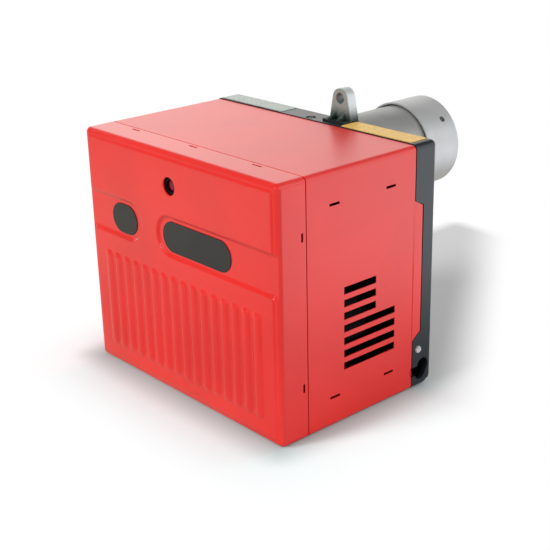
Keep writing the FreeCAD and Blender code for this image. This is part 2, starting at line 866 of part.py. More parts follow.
def hexagon_y(across, y0, y1, x, z):
    corners = []
    for n in range(6):
        dx, dz = polar(across / math.sqrt(3), 60 * n)
        corners.append(V(x + dx, y0, z + dz))
    return Part.Face(Part.makePolygon(corners + [corners[0]])).extrude(V(0, y1 - y0, 0))


def nozzle_line():
    """The oil line on the tube's axis, from the inlet block to the nozzle holder."""
    block_front = chamber_cover_front - 18
    line = along_y(nozzle_line_radius, block_front + 2, nozzle_line_end, tube_axis_x, tube_axis_z)
    half = 1.5 * nozzle_line_radius
    block = rounded_y(
        tube_axis_x - half, tube_axis_x + half, block_front, chamber_cover_front,
        tube_axis_z - half, tube_axis_z + half, half / 3,
    )
    holder = hexagon_y(19, nozzle_line_end - 10, nozzle_line_end + 4, tube_axis_x, tube_axis_z)
    return line.fuse([block, holder])


def nozzle():
    base_y = nozzle_line_end + 4
    hexagon = hexagon_y(16, base_y, base_y + 8, tube_axis_x, tube_axis_z)
    tip = Part.makeCone(7.2, 3, nozzle_tip - base_y - 8, V(tube_axis_x, base_y + 8, tube_axis_z), Y_AXIS)
    bore = along_y(0.6, nozzle_tip - 3, nozzle_tip + 1, tube_axis_x, tube_axis_z)
    return hexagon.fuse(tip).cut(bore)


def electrode_places():
    z = tube_axis_z + electrode_rise
    return [(tube_axis_x - electrode_spread, z, -1), (tube_axis_x + electrode_spread, z, 1)]


def electrode_insulators():
    solids = []
    for x, z, side in electrode_places():
        stick = along_y(insulator_radius, insulator_front, insulator_end, x, z)
        collar = along_y(insulator_radius + 1.5, insulator_front + 20, insulator_front + 24, x, z)
        solids.append(stick.fuse(collar))
    return Part.makeCompound(solids)


def electrode_rods():
    """The two spark rods, bent in towards each other in front of the nozzle."""
    solids = []
    tip_y = disc_y - 3
    for x, z, side in electrode_places():
        bend = V(x, insulator_end + 14, z)
        tip = V(tube_axis_x + side * 2.2, tip_y, tube_axis_z + 8)
        straight = along_y(electrode_radius, insulator_end, insulator_end + 14, x, z)
        along = tip - bend
        slanted = Part.makeCylinder(electrode_radius, along.Length, bend, along)
        solids.append(straight.fuse([slanted, Part.makeSphere(electrode_radius, bend)]))
    return Part.makeCompound(solids)


def electrode_clamp():
    """The saddle that ties both insulators to the nozzle line."""
    y0 = insulator_end - electrode_clamp_margin
    y1 = y0 + 8
    half = electrode_spread + insulator_radius + 3
    top = tube_axis_z + electrode_rise + insulator_radius + 2.5
    saddle = rounded_y(
        tube_axis_x - half, tube_axis_x + half, y0, y1, tube_axis_z - nozzle_line_radius - 3, top, 3
    )
    tools = [along_y(insulator_radius, y0 - 1, y1 + 1, x, z) for x, z, side in electrode_places()]
    tools.append(along_y(nozzle_line_radius, y0 - 1, y1 + 1, tube_axis_x, tube_axis_z))
    return saddle.cut(tools)


def cover_screw_angles():
    return (0, 45, 135, 180, 225, 315)


def chamber_cover():
    """The round plate that closes the air chamber and carries the nozzle line."""
    radius = chamber_rim_radius
    plate = along_y(radius, chamber_cover_front, chamber_front, tube_axis_x, tube_axis_z)
    plate = plate.common(box(-half_width, half_width, 0, body_depth, 0, housing_top))
    tools = [
        along_y(nozzle_line_radius, 0, body_depth, tube_axis_x, tube_axis_z),
        along_y(sensor_radius(), 0, body_depth, sensor_x(), sensor_z()),
    ]
    for x, z, side in electrode_places():
        tools.append(along_y(lead_radius, 0, body_depth, x, z))
    return plate.cut(tools)


def chamber_screws():
    screws = []
    middle = (chamber_radius + chamber_rim_radius) / 2
    for angle in cover_screw_angles():
        dx, dz = polar(middle, angle)
        y = chamber_cover_front
        if angle in (0, 180):
            y = chamber_cover_front - plate_thickness
        head = along_y(3.6, y - 2.6, y, tube_axis_x + dx, tube_axis_z + dz)
        head = head.cut(hexagon_y(3, y - 3, y - 1.4, tube_axis_x + dx, tube_axis_z + dz))
        screws.append(head)
    return Part.makeCompound(screws)


def sensor_radius():
    return 8.0


def sensor_x():
    return tube_axis_x - 26


def sensor_z():
    return tube_axis_z - 20


def flame_sensor():
    """The plug-in light sensor that watches the flame through the chamber."""
    body = along_y(sensor_radius(), chamber_cover_front - 4, chamber_front + 24, sensor_x(), sensor_z())
    grip_front = chamber_cover_front - 16
    grip = along_y(sensor_radius() + 2.5, grip_front, chamber_cover_front, sensor_x(), sensor_z())
    lens = Part.makeSphere(5, V(sensor_x(), chamber_front + 24, sensor_z()))
    return body.fuse([grip, lens])


# Motor, bolted to the left side of the scroll
def motor_shell():
    y, z = fan_axis_y, fan_axis_z
    shell = along_x(motor_radius, shell_left, shell_right, y, z)
    edges = [e for e in shell.Edges if e.CenterOfMass.x < shell_left + 0.01]
    shell = shell.makeFillet(6, edges)
    shell = shell.cut(along_x(motor_radius - motor_wall, shell_left + motor_wall, shell_right + 1, y, z))
    seat = along_x(bearing_radius + 3, shell_left + 1, shell_left + motor_wall + bearing_width, y, z)
    shell = shell.fuse(seat)
    return shell.cut(along_x(bearing_radius, shell_left + motor_wall, shell_right, y, z))


def motor_plate():
    y, z = fan_axis_y, fan_axis_z
    plate = along_x(motor_plate_radius, shell_right, motor_right, y, z)
    seat = along_x(bearing_radius + 3, shell_right - bearing_width, shell_right + 1, y, z)
    plate = plate.fuse(seat)
    plate = plate.cut(along_x(bearing_radius, shell_right - bearing_width - 1, shell_right, y, z))
    return plate.cut(along_x(shaft_radius + 0.5, shell_right - 1, motor_right + 1, y, z))


def motor_bearings():
    y, z = fan_axis_y, fan_axis_z
    rings = []
    for x in (shell_left + motor_wall, shell_right - bearing_width):
        ring = along_x(bearing_radius, x, x + bearing_width, y, z)
        rings.append(ring.cut(along_x(shaft_radius + bearing_clearance, x - 1, x + bearing_width + 1, y, z)))
    return Part.makeCompound(rings)


def motor_middle():
    return (shell_left + shell_right) / 2


def stator():
    y, z = fan_axis_y, fan_axis_z
    x0 = motor_middle() - stator_length / 2
    x1 = motor_middle() + stator_length / 2
    core = along_x(motor_radius - motor_wall, x0, x1, y, z)
    windings = along_x(motor_radius - motor_wall - 6, x0 - 8, x1 + 8, y, z)
    return core.fuse(windings).cut(along_x(stator_bore, x0 - 9, x1 + 9, y, z))


def rotor_core():
    y, z = fan_axis_y, fan_axis_z
    x0 = motor_middle() - stator_length / 2
    x1 = motor_middle() + stator_length / 2
    core = along_x(stator_bore - rotor_gap, x0, x1, y, z)
    return core.cut(along_x(shaft_radius, x0 - 1, x1 + 1, y, z))


def coupling_start():
    return fan_left + fan_hub_length + 4


def motor_shaft_end():
    return coupling_start() + coupling_grip


def motor_shaft():
    return along_x(shaft_radius, shell_left + motor_wall + 0.5, motor_shaft_end(), fan_axis_y, fan_axis_z)


def motor_screws():
    screws = []
    for angle in (20, 110, 200, 290):
        dy, dz = polar(motor_plate_radius - 3.6, angle)
        place = V(shell_right, fan_axis_y + dy, fan_axis_z + dz)
        screws.append(pointed(Part.makeCylinder(2.8, 3), V(-1, 0, 0), place))
    return Part.makeCompound(screws)


def capacitor():
    """The motor's run capacitor, in a clip on top of the motor."""
    x0 = motor_middle() - capacitor_length / 2
    z = fan_axis_z + motor_radius + capacitor_radius + 3
    can = along_x(capacitor_radius, x0, x0 + capacitor_length, fan_axis_y, z)
    edges = [e for e in can.Edges if e.Closed]
    return can.makeFillet(2, edges)


def capacitor_clip():
    width = 14.0
    x0 = motor_middle() - width / 2
    z = fan_axis_z + motor_radius + capacitor_radius + 3
    band = along_x(capacitor_radius + 1.5, x0, x0 + width, fan_axis_y, z)
    foot = box(x0, x0 + width, fan_axis_y - 9, fan_axis_y + 9, fan_axis_z + motor_radius - 6, z)
    clip = band.fuse(foot)
    clip = clip.cut(along_x(capacitor_radius, x0 - 1, x0 + width + 1, fan_axis_y, z))
    return clip.cut(along_x(motor_radius, x0 - 1, x0 + width + 1, fan_axis_y, fan_axis_z))


# Fan wheel with forward-curved blades between a back plate and a front ring
def blade():
    """One blade, an arc in section that leans forward from the eye to the rim."""
    curve = (fan_radius - fan_inner_radius) / 1.42
    turns = [math.radians(a) for a in (245, 290, 335)]
    centre_y = fan_inner_radius - curve * math.cos(turns[0])
    centre_z = -curve * math.sin(turns[0])
    arcs = []
    for radius in (curve, curve - blade_thickness):
        points = [V(0, centre_y + radius * math.cos(t), centre_z + radius * math.sin(t)) for t in turns]
        arcs.append((points, Part.Arc(*points).toShape()))
    (near, near_arc), (far, far_arc) = arcs
    ends = [Part.makeLine(near[0], far[0]), Part.makeLine(near[2], far[2])]
    outline = Part.Wire(Part.__sortEdges__([near_arc, far_arc] + ends))
    return Part.Face(outline).extrude(V(fan_width - 2 * fan_plate + 1, 0, 0))


def fan_wheel():
    y, z = fan_axis_y, fan_axis_z
    plate = along_x(fan_radius, fan_left, fan_left + fan_plate, y, z)
    ring = along_x(fan_radius, fan_right - fan_plate, fan_right, y, z)
    ring = ring.cut(along_x(fan_inner_radius, fan_right - fan_plate - 1, fan_right + 1, y, z))
    hub = along_x(fan_hub_radius, fan_left, fan_left + fan_hub_length, y, z)
    cone = Part.makeCone(fan_hub_radius + 14, fan_hub_radius, 10, V(fan_left + fan_plate, y, z), X_AXIS)
    blades = []
    for n in range(blade_count):
        one = blade()
        one.rotate(V(0, 0, 0), X_AXIS, n * 360 / blade_count)
        one.translate(V(fan_left + fan_plate - 0.5, y, z))
        blades.append(one)
    wheel = plate.fuse([ring, hub, cone] + blades)
    return wheel.cut(along_x(shaft_radius, fan_left - 1, fan_left + fan_hub_length + 1, y, z))


def coupling():
    """The plastic sleeve that drives the pump from the motor shaft."""
    y, z = fan_axis_y, fan_axis_z
    x0 = coupling_start()
    x1 = coupling_end()
    sleeve = along_x(coupling_radius, x0, x1, y, z)
    motor_end = along_x(shaft_radius, x0 - 1, motor_shaft_end(), y, z)
    pump_end = along_x(pump_shaft_radius, pump_shaft_left(), x1 + 1, y, z)
    return sleeve.cut([motor_end, pump_end])


def coupling_end():
    return intake_right - pump_spigot_length() - 2


def pump_spigot_length():
    return 8.0


def pump_shaft_left():
    return coupling_end() - coupling_grip + 2


def pump_shaft():
    right = intake_right + pump_length * 0.37
    return along_x(pump_shaft_radius, pump_shaft_left(), right, fan_axis_y, fan_axis_z)


# Air intake on the right side of the scroll, with the damper in its throat
def intake_middle():
    return (intake_left + intake_right) / 2


def throat(offset):
    half = throat_half_height - offset
    front = throat_front - (1 if offset else 0)
    left = intake_left + offset
    right = intake_right - offset
    return box(left, right, front, fan_axis_y, fan_axis_z - half, fan_axis_z + half)


def intake_box():
    y, z = fan_axis_y, fan_axis_z
    body = along_x(intake_radius, intake_left, intake_right, y, z).fuse(throat(0))
    hollow = along_x(intake_radius - intake_wall, intake_left - 1, intake_right - intake_wall, y, z)
    body = body.cut(hollow.fuse(throat(intake_wall)))
    socket = along_x(pump_spigot_radius + 3, intake_right - 8, intake_right, y, z)
    body = body.fuse(socket).cut(along_x(pump_spigot_radius, intake_right - 9, intake_right + 1, y, z))
    axle = along_z(
        damper_axle_radius + bearing_clearance, z - throat_half_height - 1, z + throat_half_height + 1,
        intake_middle(), damper_y,
    )
    return body.cut(axle)


def damper_flap():
    """The plate that throttles the intake, on its axle, with the lever that the ram pushes."""
    x, y, z = intake_middle(), damper_y, fan_axis_z
    half_x = intake_depth / 2 - intake_wall - damper_play
    half_z = throat_half_height - intake_wall - damper_play
    half_y = damper_thickness / 2
    plate = box(x - half_x, x + half_x, y - half_y, y + half_y, z - half_z, z + half_z)
    axle_top = lever_low() + 4
    axle = along_z(damper_axle_radius, z - throat_half_height - 2, axle_top, x, y)
    arm = box(x - 2.5, x + 2.5, y - damper_lever, y, lever_low(), lever_low() + 4)
    knob = along_z(damper_lever_radius, lever_low(), lever_low() + 4, x, y - damper_lever)
    return plate.fuse([axle, arm, knob])


def lever_low():
    return fan_axis_z + throat_half_height + 8


def ram_axis_y():
    return damper_y - damper_lever


def ram_axis_z():
    return lever_low() + 2


def ram_rod_tip():
    return intake_middle() - damper_lever_radius - 0.3


def ram_right():
    return (scroll_left + scroll_right) / 2 + ram_length / 2


def ram_cylinder():
    y, z = ram_axis_y(), ram_axis_z()
    right = ram_right()
    left = right - ram_length
    barrel = along_x(ram_radius, left, right, y, z)
    middle = (scroll_left + scroll_right) / 2
    foot = box(middle - 10, middle + 10, y, y + ram_radius, z - 4, z + ram_radius)
    bore = along_x(ram_rod_radius + ram_clearance, left + 10, right + 1, y, z)
    return barrel.fuse(foot).cut(bore)


def ram_piston():
    """The rod that oil pressure drives out to open the damper."""
    left = ram_right() - ram_length + 11
    return along_x(ram_rod_radius, left, ram_rod_tip(), ram_axis_y(), ram_axis_z())


# Pump on the intake's right side, driven through the coupling
def pump_right():
    return intake_right + pump_length


def pump_body():
    y, z = fan_axis_y, fan_axis_z
    x0, x1 = intake_right, pump_right()
    body = rounded_x(x0, x1, y - pump_half_y, y + pump_half_y, z - pump_half_z, z + pump_half_z, 7)
    spigot = along_x(pump_spigot_radius, x0 - 8, x0 + 1, y, z)
    outlet = along_z(6, z + pump_half_z - 2, z + pump_half_z + 5, x0 + 16, y - pump_port_offset)
    body = body.fuse([spigot, outlet])
    shaft_hole = along_x(pump_shaft_radius + bearing_clearance, x0 - 9, x0 + 15, y, z)
    port = along_z(oil_pipe_radius, z + pump_half_z - 2, z + pump_half_z + 6, x0 + 16, y - pump_port_offset)
    return body.cut([shaft_hole, port])


def pump_cover():
    y, z = fan_axis_y, fan_axis_z
    x0 = pump_right()
    lid = rounded_x(
        x0, x0 + pump_cover_length, y - pump_half_y + 3, y + pump_half_y - 3,
        z - pump_half_z + 3, z + pump_half_z - 3, 7,
    )
    heads = []
    for side in (-1, 1):
        for rise in (-1, 1):
            start = x0 + pump_cover_length - 1
            heads.append(along_x(2.8, start, start + 3.5, y + side * 20, z + rise * 18))
    return lid.fuse(heads)


def pump_plugs():
    """The hexagon plugs and the pressure screw on the pump's faces."""
    y, z = fan_axis_y, fan_axis_z
    x = intake_right + 16
    plugs = []
    for side in (-1, 1):
        low = z - pump_half_z
        plug = along_z(5.5, low - 7, low, x, y + side * 16)
        plugs.append(plug)
    front = y - pump_half_y
    plugs.append(hexagon_y(12, front - 6, front, x, z - 8))
    plugs.append(along_y(4, front - 9, front, x, z + 12))
    return Part.makeCompound(plugs)


def solenoid_coil():
    """The coil of the oil valve, standing on top of the pump."""
    x = intake_right + 16
    y = fan_axis_y + 10
    low = fan_axis_z + pump_half_z
    coil = along_z(coil_radius, low + 4, low + coil_height, x, y)
    stem = along_z(6, low, low + coil_height + 4, x, y)
    plug = box(x + 6, x + coil_radius + 8, y - 7, y + 7, low + 12, low + 28)
    return coil.fuse([stem, plug])


def tube_along(points, radius, bend):
    """A round tube along straight runs joined by tangent arcs of one bend radius."""
    edges = []
    start = points[0]
    for n in range(1, len(points) - 1):
        before = points[n] - points[n - 1]
        after = points[n + 1] - points[n]
        turn = before.getAngle(after)
        cut = bend * math.tan(turn / 2)
        a = points[n] - before.normalize() * cut
        b = points[n] + after.normalize() * cut
        inward = (after - before).normalize()
        middle = points[n] + inward * (bend / math.cos(turn / 2) - bend)
        edges.append(Part.makeLine(start, a))
        edges.append(Part.Arc(a, middle, b).toShape())
        start = b
    edges.append(Part.makeLine(start, points[-1]))
    path = Part.Wire(edges)
    direction = points[1] - points[0]
    section = Part.Wire([Part.makeCircle(radius, points[0], direction)])
    return path.makePipeShell([section], True, False)


def oil_pipe():
    """The steel pipe from the pump's outlet to the block on the nozzle line."""
    x = intake_right + 16
    y = fan_axis_y - pump_port_offset
    start = V(x, y, fan_axis_z + pump_half_z - 2)
    points = [start, V(x, y, oil_pipe_level), V(tube_axis_x, y, oil_pipe_level)]
    points.append(V(tube_axis_x, y, tube_axis_z - 9))
    return tube_along(points, oil_pipe_radius, oil_pipe_bend)


# Electrical pieces above the fan
def carrier_front():
    return chamber_cover_front - carrier_gap


def control_rear():
    return carrier_front() - control_base_depth


def component_plate():
    """The bent plate that carries the control box in front of the air chamber."""
    t = plate_thickness
    front = carrier_front()
    dx = (chamber_radius + chamber_rim_radius) / 2 + 4
    x0, x1 = tube_axis_x - dx, tube_axis_x + dx
    low, high = tube_axis_z - 10, tube_axis_z + 10
    left = button_x - control_width / 2
    face = box(left, x1 + t, front, front + t, tube_axis_z - 34, tube_axis_z + 36)
    legs = []
    for side_x, foot_x in ((x0 - t, x0 - t), (x1, x1 + t - 14)):
        legs.append(box(side_x, side_x + t, front, chamber_cover_front, low, high))
        legs.append(box(foot_x, foot_x + 14, chamber_cover_front - t, chamber_cover_front, low, high))
    return face.fuse(legs)


def control_left():
    return button_x - control_width / 2


def control_low():
    return min(button_z - control_height * 0.62, housing_top - control_height - 2)


def control_base():
    left, low = control_left(), control_low()
    right = left + control_width
    return rounded_y(left, right, control_rear(), carrier_front(), low, low + control_height, 3)


def control_box():
    """The control box, whose front carries the reset button's bezel."""
    left, low = control_left(), control_low()
    rear = control_rear()
    shell = rounded_y(
        left + 1.5, left + control_width - 1.5, control_front, rear, low + 1.5, low + control_height - 1.5, 4
    )
    edges = [e for e in shell.Edges if abs(e.CenterOfMass.y - control_front) < 0.01]
    shell = shell.makeFillet(2.5, edges)
    well = along_y(button_radius + 0.3, control_front - 1, control_front + 12, button_x, button_z)
    return shell.cut(well)


def reset_bezel():
    """The black ring round the reset button, standing in the hole of the cover."""
    front = button_hole_collar - 2.5
    tube = along_y(bezel_radius, front, control_front, button_x, button_z)
    edges = [e for e in tube.Edges if e.Closed and e.CenterOfMass.y < front + 0.01]
    tube = tube.makeFillet(0.8, edges)
    return tube.cut(along_y(bezel_bore, front - 1, control_front + 1, button_x, button_z))


def reset_button():
    """The lit button that clears a lock-out."""
    cap = along_y(button_radius, button_face, control_front + 6, button_x, button_z)
    edges = [e for e in cap.Edges if e.Closed and e.CenterOfMass.y < button_face + 0.01]
    return cap.makeFillet(1.2, edges)


def transformer_low():
    return tube_axis_z + electrode_rise - transformer_height + 12


def transformer_front():
    return body_depth - rear_wall - transformer_depth


def ignition_transformer():
    """The ignition transformer, a cast block with two outlet necks, on the rear wall."""
    left = transformer_middle - transformer_width / 2
    low = transformer_low()
    front = transformer_front()
    block = rounded_y(
        left, left + transformer_width, front, body_depth - rear_wall, low, low + transformer_height, 5
    )
    necks = []
    for x in lead_starts():
        necks.append(along_y(lead_radius + 4, front - 8, front + 1, x, lead_level()))
    return block.fuse(necks)


def lead_level():
    return tube_axis_z + electrode_rise


def lead_starts():
    return (transformer_middle - 14, transformer_middle + 14)


def ignition_leads():
    """The two high-tension leads from the transformer into the chamber."""
    leads = []
    bend = 9.0
    z = lead_level()
    ends = [tube_axis_x + electrode_spread, tube_axis_x - electrode_spread]
    levels = [chamber_cover_front - 21, chamber_cover_front - 12]
    for start_x, end_x, y in zip(lead_starts(), ends, levels):
        points = [V(start_x, transformer_front() - 8, z), V(start_x, y, z), V(end_x, y, z)]
        points.append(V(end_x, insulator_front, z))
        leads.append(tube_along(points, lead_radius, bend))
    return Part.makeCompound(leads)


PIECES = {
    "front_pan": front_pan,
    "wrapper": wrapper,
    "badge_large": lambda: badge(large_badge_left, large_badge_width),
    "badge_small": lambda: badge(small_badge_left, small_badge_width),
    "fan_housing": fan_housing,
    "lifting_eye": lifting_eye,
    "silver_plate": silver_plate,
    "yellow_plate": yellow_plate,
    "housing_screws": housing_screws,
    "air_tube": air_tube,
    "blast_tube": blast_tube,
    "ring_screws": ring_screws,
    "diffuser_disc": diffuser_disc,
    "disc_carrier": disc_carrier,
    "nozzle_line": nozzle_line,
    "nozzle": nozzle,
    "electrode_insulators": electrode_insulators,
    "electrode_rods": electrode_rods,
    "electrode_clamp": electrode_clamp,
    "chamber_cover": chamber_cover,
    "chamber_screws": chamber_screws,
    "flame_sensor": flame_sensor,
    "motor_shell": motor_shell,
    "motor_plate": motor_plate,
    "motor_bearings": motor_bearings,
    "motor_screws": motor_screws,
    "stator": stator,
    "rotor_core": rotor_core,
    "motor_shaft": motor_shaft,
    "capacitor": capacitor,
    "capacitor_clip": capacitor_clip,
    "fan_wheel": fan_wheel,
    "coupling": coupling,
    "pump_shaft": pump_shaft,
    "intake_box": intake_box,
    "damper_flap": damper_flap,
    "ram_cylinder": ram_cylinder,
    "ram_piston": ram_piston,
    "pump_body": pump_body,
    "pump_cover": pump_cover,
    "pump_plugs": pump_plugs,
    "solenoid_coil": solenoid_coil,
    "oil_pipe": oil_pipe,
    "component_plate": component_plate,
    "control_base": control_base,
    "control_box": control_box,
    "reset_bezel": reset_bezel,
    "reset_button": reset_button,
    "ignition_transformer": ignition_transformer,
    "ignition_leads": ignition_leads,
}

os.makedirs("parts", exist_ok=True)
for piece_name, make_piece in PIECES.items():
    save(piece_name, make_piece())
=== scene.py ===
import math

import bmesh
import bpy
from mathutils import Matrix, Vector
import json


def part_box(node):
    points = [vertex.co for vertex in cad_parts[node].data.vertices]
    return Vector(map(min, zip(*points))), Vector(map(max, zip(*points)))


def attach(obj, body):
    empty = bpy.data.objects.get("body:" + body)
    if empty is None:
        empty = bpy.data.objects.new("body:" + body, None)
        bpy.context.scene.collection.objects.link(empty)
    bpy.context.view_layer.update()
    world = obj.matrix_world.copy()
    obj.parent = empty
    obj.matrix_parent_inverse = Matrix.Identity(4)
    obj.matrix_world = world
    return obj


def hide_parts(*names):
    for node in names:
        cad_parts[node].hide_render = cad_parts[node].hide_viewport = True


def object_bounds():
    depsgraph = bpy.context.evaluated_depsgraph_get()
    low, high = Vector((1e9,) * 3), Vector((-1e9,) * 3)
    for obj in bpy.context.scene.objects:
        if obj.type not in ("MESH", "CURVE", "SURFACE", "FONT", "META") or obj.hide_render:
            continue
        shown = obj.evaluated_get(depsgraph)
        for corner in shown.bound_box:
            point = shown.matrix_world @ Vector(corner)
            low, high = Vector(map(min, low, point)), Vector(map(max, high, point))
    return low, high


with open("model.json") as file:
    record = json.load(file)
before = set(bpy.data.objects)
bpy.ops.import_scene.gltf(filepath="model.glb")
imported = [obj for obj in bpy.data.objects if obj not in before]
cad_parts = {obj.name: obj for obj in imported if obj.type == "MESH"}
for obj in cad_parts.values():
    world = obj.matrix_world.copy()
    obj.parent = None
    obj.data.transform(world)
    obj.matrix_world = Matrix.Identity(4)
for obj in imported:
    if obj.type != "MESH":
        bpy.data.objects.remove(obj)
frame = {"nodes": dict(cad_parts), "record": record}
scene = bpy.context.scene
scene.view_settings.view_transform = "Standard"
model_low, model_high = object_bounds()
MM = 0.001


# Camera: stands where the photograph was taken from, to the burner's front right and above it.
# Its place and its small tilt were worked out from the edges of the cover and the tube.
photo_pixels = 550
focal_pixels = 1157.6
film_width = 36.0
camera_place = Vector((0.9633, -0.9636, 0.3869))
camera_aim = Vector((0.1370, -0.2390, -0.0447))
camera_roll = math.radians(-1.358)

camera_data = bpy.data.cameras.new("camera")
camera_data.sensor_width = film_width
camera_data.lens = focal_pixels / photo_pixels * film_width
camera = bpy.data.objects.new("camera", camera_data)
scene.collection.objects.link(camera)
camera_turn = (camera_aim - camera_place).to_track_quat("-Z", "Y").to_matrix()
camera_turn = camera_turn @ Matrix.Rotation(camera_roll, 3, "Z")
camera.matrix_world = Matrix.Translation(camera_place) @ camera_turn.to_4x4()
scene.camera = camera


# Studio: a white room with a main lamp and six fainter ones. What steel and enamel mirror of it is
# darker low down, overhead, by the camera and to the rear left, so that they show their shapes.
# Value wraps a socket and Tree makes nodes; both serve every material below.
class Value:
    """A shader value. Arithmetic on it adds Math nodes to its tree."""

    def __init__(self, tree, socket):
        self.tree = tree
        self.socket = socket

    def maths(self, operation, first, second=0.0):
        return self.tree.node("Math", {"operation": operation}, {0: first, 1: second})

    def __add__(self, other):
        return self.maths("ADD", self, other)

    __radd__ = __add__

    def __sub__(self, other):
        return self.maths("SUBTRACT", self, other)

    def __rsub__(self, other):
        return self.maths("SUBTRACT", other, self)

    def __mul__(self, other):
        return self.maths("MULTIPLY", self, other)

    __rmul__ = __mul__

    def output(self, name):
        """Another output of the node that gives this value."""
        return Value(self.tree, self.socket.node.outputs[name])

    def between(self, low, high):
        """0 up to low, 1 from high on, and a soft step between; low may be the larger one."""
        settings = {"interpolation_type": "SMOOTHSTEP"}
        sockets = {"Value": self, "From Min": low, "From Max": high}
        return self.tree.node("MapRange", settings, sockets)


class Tree:
    """The nodes of a material or of the world. One method makes any of them.

    A fresh tree starts empty; otherwise its nodes are kept.
    """

    def __init__(self, owner, fresh=True):
        owner.use_nodes = True
        self.nodes = owner.node_tree.nodes
        self.links = owner.node_tree.links
        if fresh:
            self.nodes.clear()

    def node(self, kind, settings, sockets, output=0):
        made = self.nodes.new("ShaderNode" + kind)
        for name, setting in settings.items():
            setattr(made, name, setting)
        for name, value in sockets.items():
            if isinstance(value, Value):
                self.links.new(value.socket, made.inputs[name])
            else:
                made.inputs[name].default_value = value
        return Value(self, made.outputs[output]) if made.outputs else made

    def blend(self, factor, first, second):
        """The first colour where the factor is 0, the second where it is 1."""
        return self.node("Mix", {"data_type": "RGBA"}, {0: factor, 6: first, 7: second}, output=2)


white = (1.0, 1.0, 1.0, 1)
room_white = 1.0
room_light = 0.45
room_mirrored = 0.93
room_overhead = 0.08
room_horizon = 0.40
room_dim = 0.35
room_warm = (1.0, 0.95, 0.89, 1)
room_cool = (0.92, 0.96, 1.0, 1)
# Where each change over the room starts and ends: 1 is straight up, to the right or to the rear.
walls_brighten = (0.02, 0.14)
ceiling_darkens = (0.38, 0.55)
camera_side = (0.05, -0.40)
dim_from = (-0.83, -0.62)
dim_until = (0.0, 0.3)
warm_to_cool = (-0.4, 0.5)

world = bpy.data.worlds.new("studio")
scene.world = world
room = Tree(world)
rays = room.node("LightPath", {}, {}, output="Is Camera Ray")
direction = room.node("TexCoord", {}, {}, output="Generated")
height = room.node("SeparateXYZ", {}, {"Vector": direction}, output="Z")
across = height.output("X")
shown = room_horizon + (room_mirrored - room_horizon) * height.between(*walls_brighten)
shown = shown - (room_mirrored - room_overhead) * height.between(*ceiling_darkens)
shown = shown - (shown - room_overhead) * height.output("Y").between(*camera_side)
dim = across.between(*dim_from) * (1 - across.between(*dim_until))
shown = shown * (1 - (1 - room_dim) * dim)
mirrored = rays.output("Is Glossy Ray") + rays.output("Is Transmission Ray")
brightness = rays * room_white + mirrored * shown + (1 - rays - mirrored) * room_light
wall_tint = room.blend(across.between(*warm_to_cool), room_warm, room_cool)
tint = room.blend(mirrored, white, wall_tint)
background = room.node("Background", {}, {"Color": tint, "Strength": brightness})
room.node("OutputWorld", {}, {"Surface": background})

# Each lamp's turn from the front to the right, its height and its spread are in degrees.
for lamp_name, azimuth, elevation, strength, spread, mirrors in (
    ("key", -20, 25, 2.40, 20, False),
    ("rear", 175, 25, 1.05, 50, False),
    ("right", 88, 18, 1.20, 40, False),
    ("rear_right", 110, 8, 0.40, 60, False),
    ("rear_left", -131, 20, 0.30, 50, True),
    ("left", -85, 4, 0.10, 6, True),
    ("front", -6, 16, 0.18, 5, True),
):
    lamp_data = bpy.data.lights.new(lamp_name, "SUN")
    lamp_data.energy = strength
    lamp_data.angle = math.radians(spread)
    lamp = bpy.data.objects.new(lamp_name, lamp_data)
    turn, rise = math.radians(azimuth), math.radians(elevation)
    level = math.cos(rise)
    towards = Vector((math.sin(turn) * level, -math.cos(turn) * level, math.sin(rise)))
    lamp.visible_glossy = mirrors
    lamp.rotation_mode = "QUATERNION"
    lamp.rotation_quaternion = towards.to_track_quat("Z", "Y")
    scene.collection.objects.link(lamp)


# Floor: a plain sheet of paper under the burner. It is white away from the burner. Round its foot
# and in a band behind it, where the light from the front throws the shadow, the camera sees a
# painted shadow tone over the real one, and where the red cover's bounce light falls the paper is
# painted a cooler tone that cancels it. What the burner mirrors of it is a painted reflection,
# darker near the foot, to the left and towards the camera, and the light it passes on to the
# burner is painted darker near it.
floor_half = 12.0
floor_gap = 0.3 * MM
shadow_slant = 0.72
shadow_length = 0.48
contact_reach = 0.045
# Where each change over the paper starts and ends, in metres.
white_from = (0.01, 0.115)
glow_across = (-0.02, 0.04)
glow_back = (0.06, -0.05)
far_from = (-0.4, 1.1)
left_from = (-1.3, -0.5)
right_from = (0.05, 0.20)
foot_until = (0.03, 0.56)
beside_depth = 0.11
beside_until = (0.15, 0.0)
dark_from = (0.17, 0.42)
painted_bounce_cancel = (0.86, 1.0, 1.0, 1)
painted_shadow_cooled = (0.47, 0.59, 0.59, 1)
painted_shadow_grey = (0.50, 0.50, 0.50, 1)
light_near = (0.45, 0.45, 0.45, 1)
light_far = (0.85, 0.85, 0.85, 1)
mirrored_far_left = (0.30, 0.27, 0.24, 1)
mirrored_left = (0.55, 0.50, 0.44, 1)
mirrored_right = (0.93, 0.95, 1.0, 1)
mirrored_foot = (0.25, 0.25, 0.25, 1)
mirrored_beside = (0.50, 0.46, 0.40, 1)
mirrored_dark = (0.10, 0.10, 0.10, 1)

floor_form = bmesh.new()
bmesh.ops.create_grid(floor_form, x_segments=2, y_segments=2, size=floor_half)
bmesh.ops.translate(floor_form, verts=floor_form.verts, vec=(0, 0, model_low.z - floor_gap))
floor_mesh = bpy.data.meshes.new("floor")
floor_form.to_mesh(floor_mesh)
floor_form.free()
floor = bpy.data.objects.new("floor", floor_mesh)
scene.collection.objects.link(floor)

paper = bpy.data.materials.new("paper")
paper_tree = Tree(paper)
to_camera = paper_tree.node("LightPath", {}, {}, output="Is Camera Ray")
paper_place = paper_tree.node("TexCoord", {}, {}, output="Object")
paper_x = paper_tree.node("SeparateXYZ", {}, {"Vector": paper_place}, output="X")
paper_y = paper_x.output("Y")
cover_low, cover_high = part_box("wrapper")


def outside(value, low, high):
    """How far a value lies outside a span, 0 within it."""
    beyond = value.maths("ABSOLUTE", value - (low + high) / 2) - (high - low) / 2
    return value.maths("MAXIMUM", beyond)


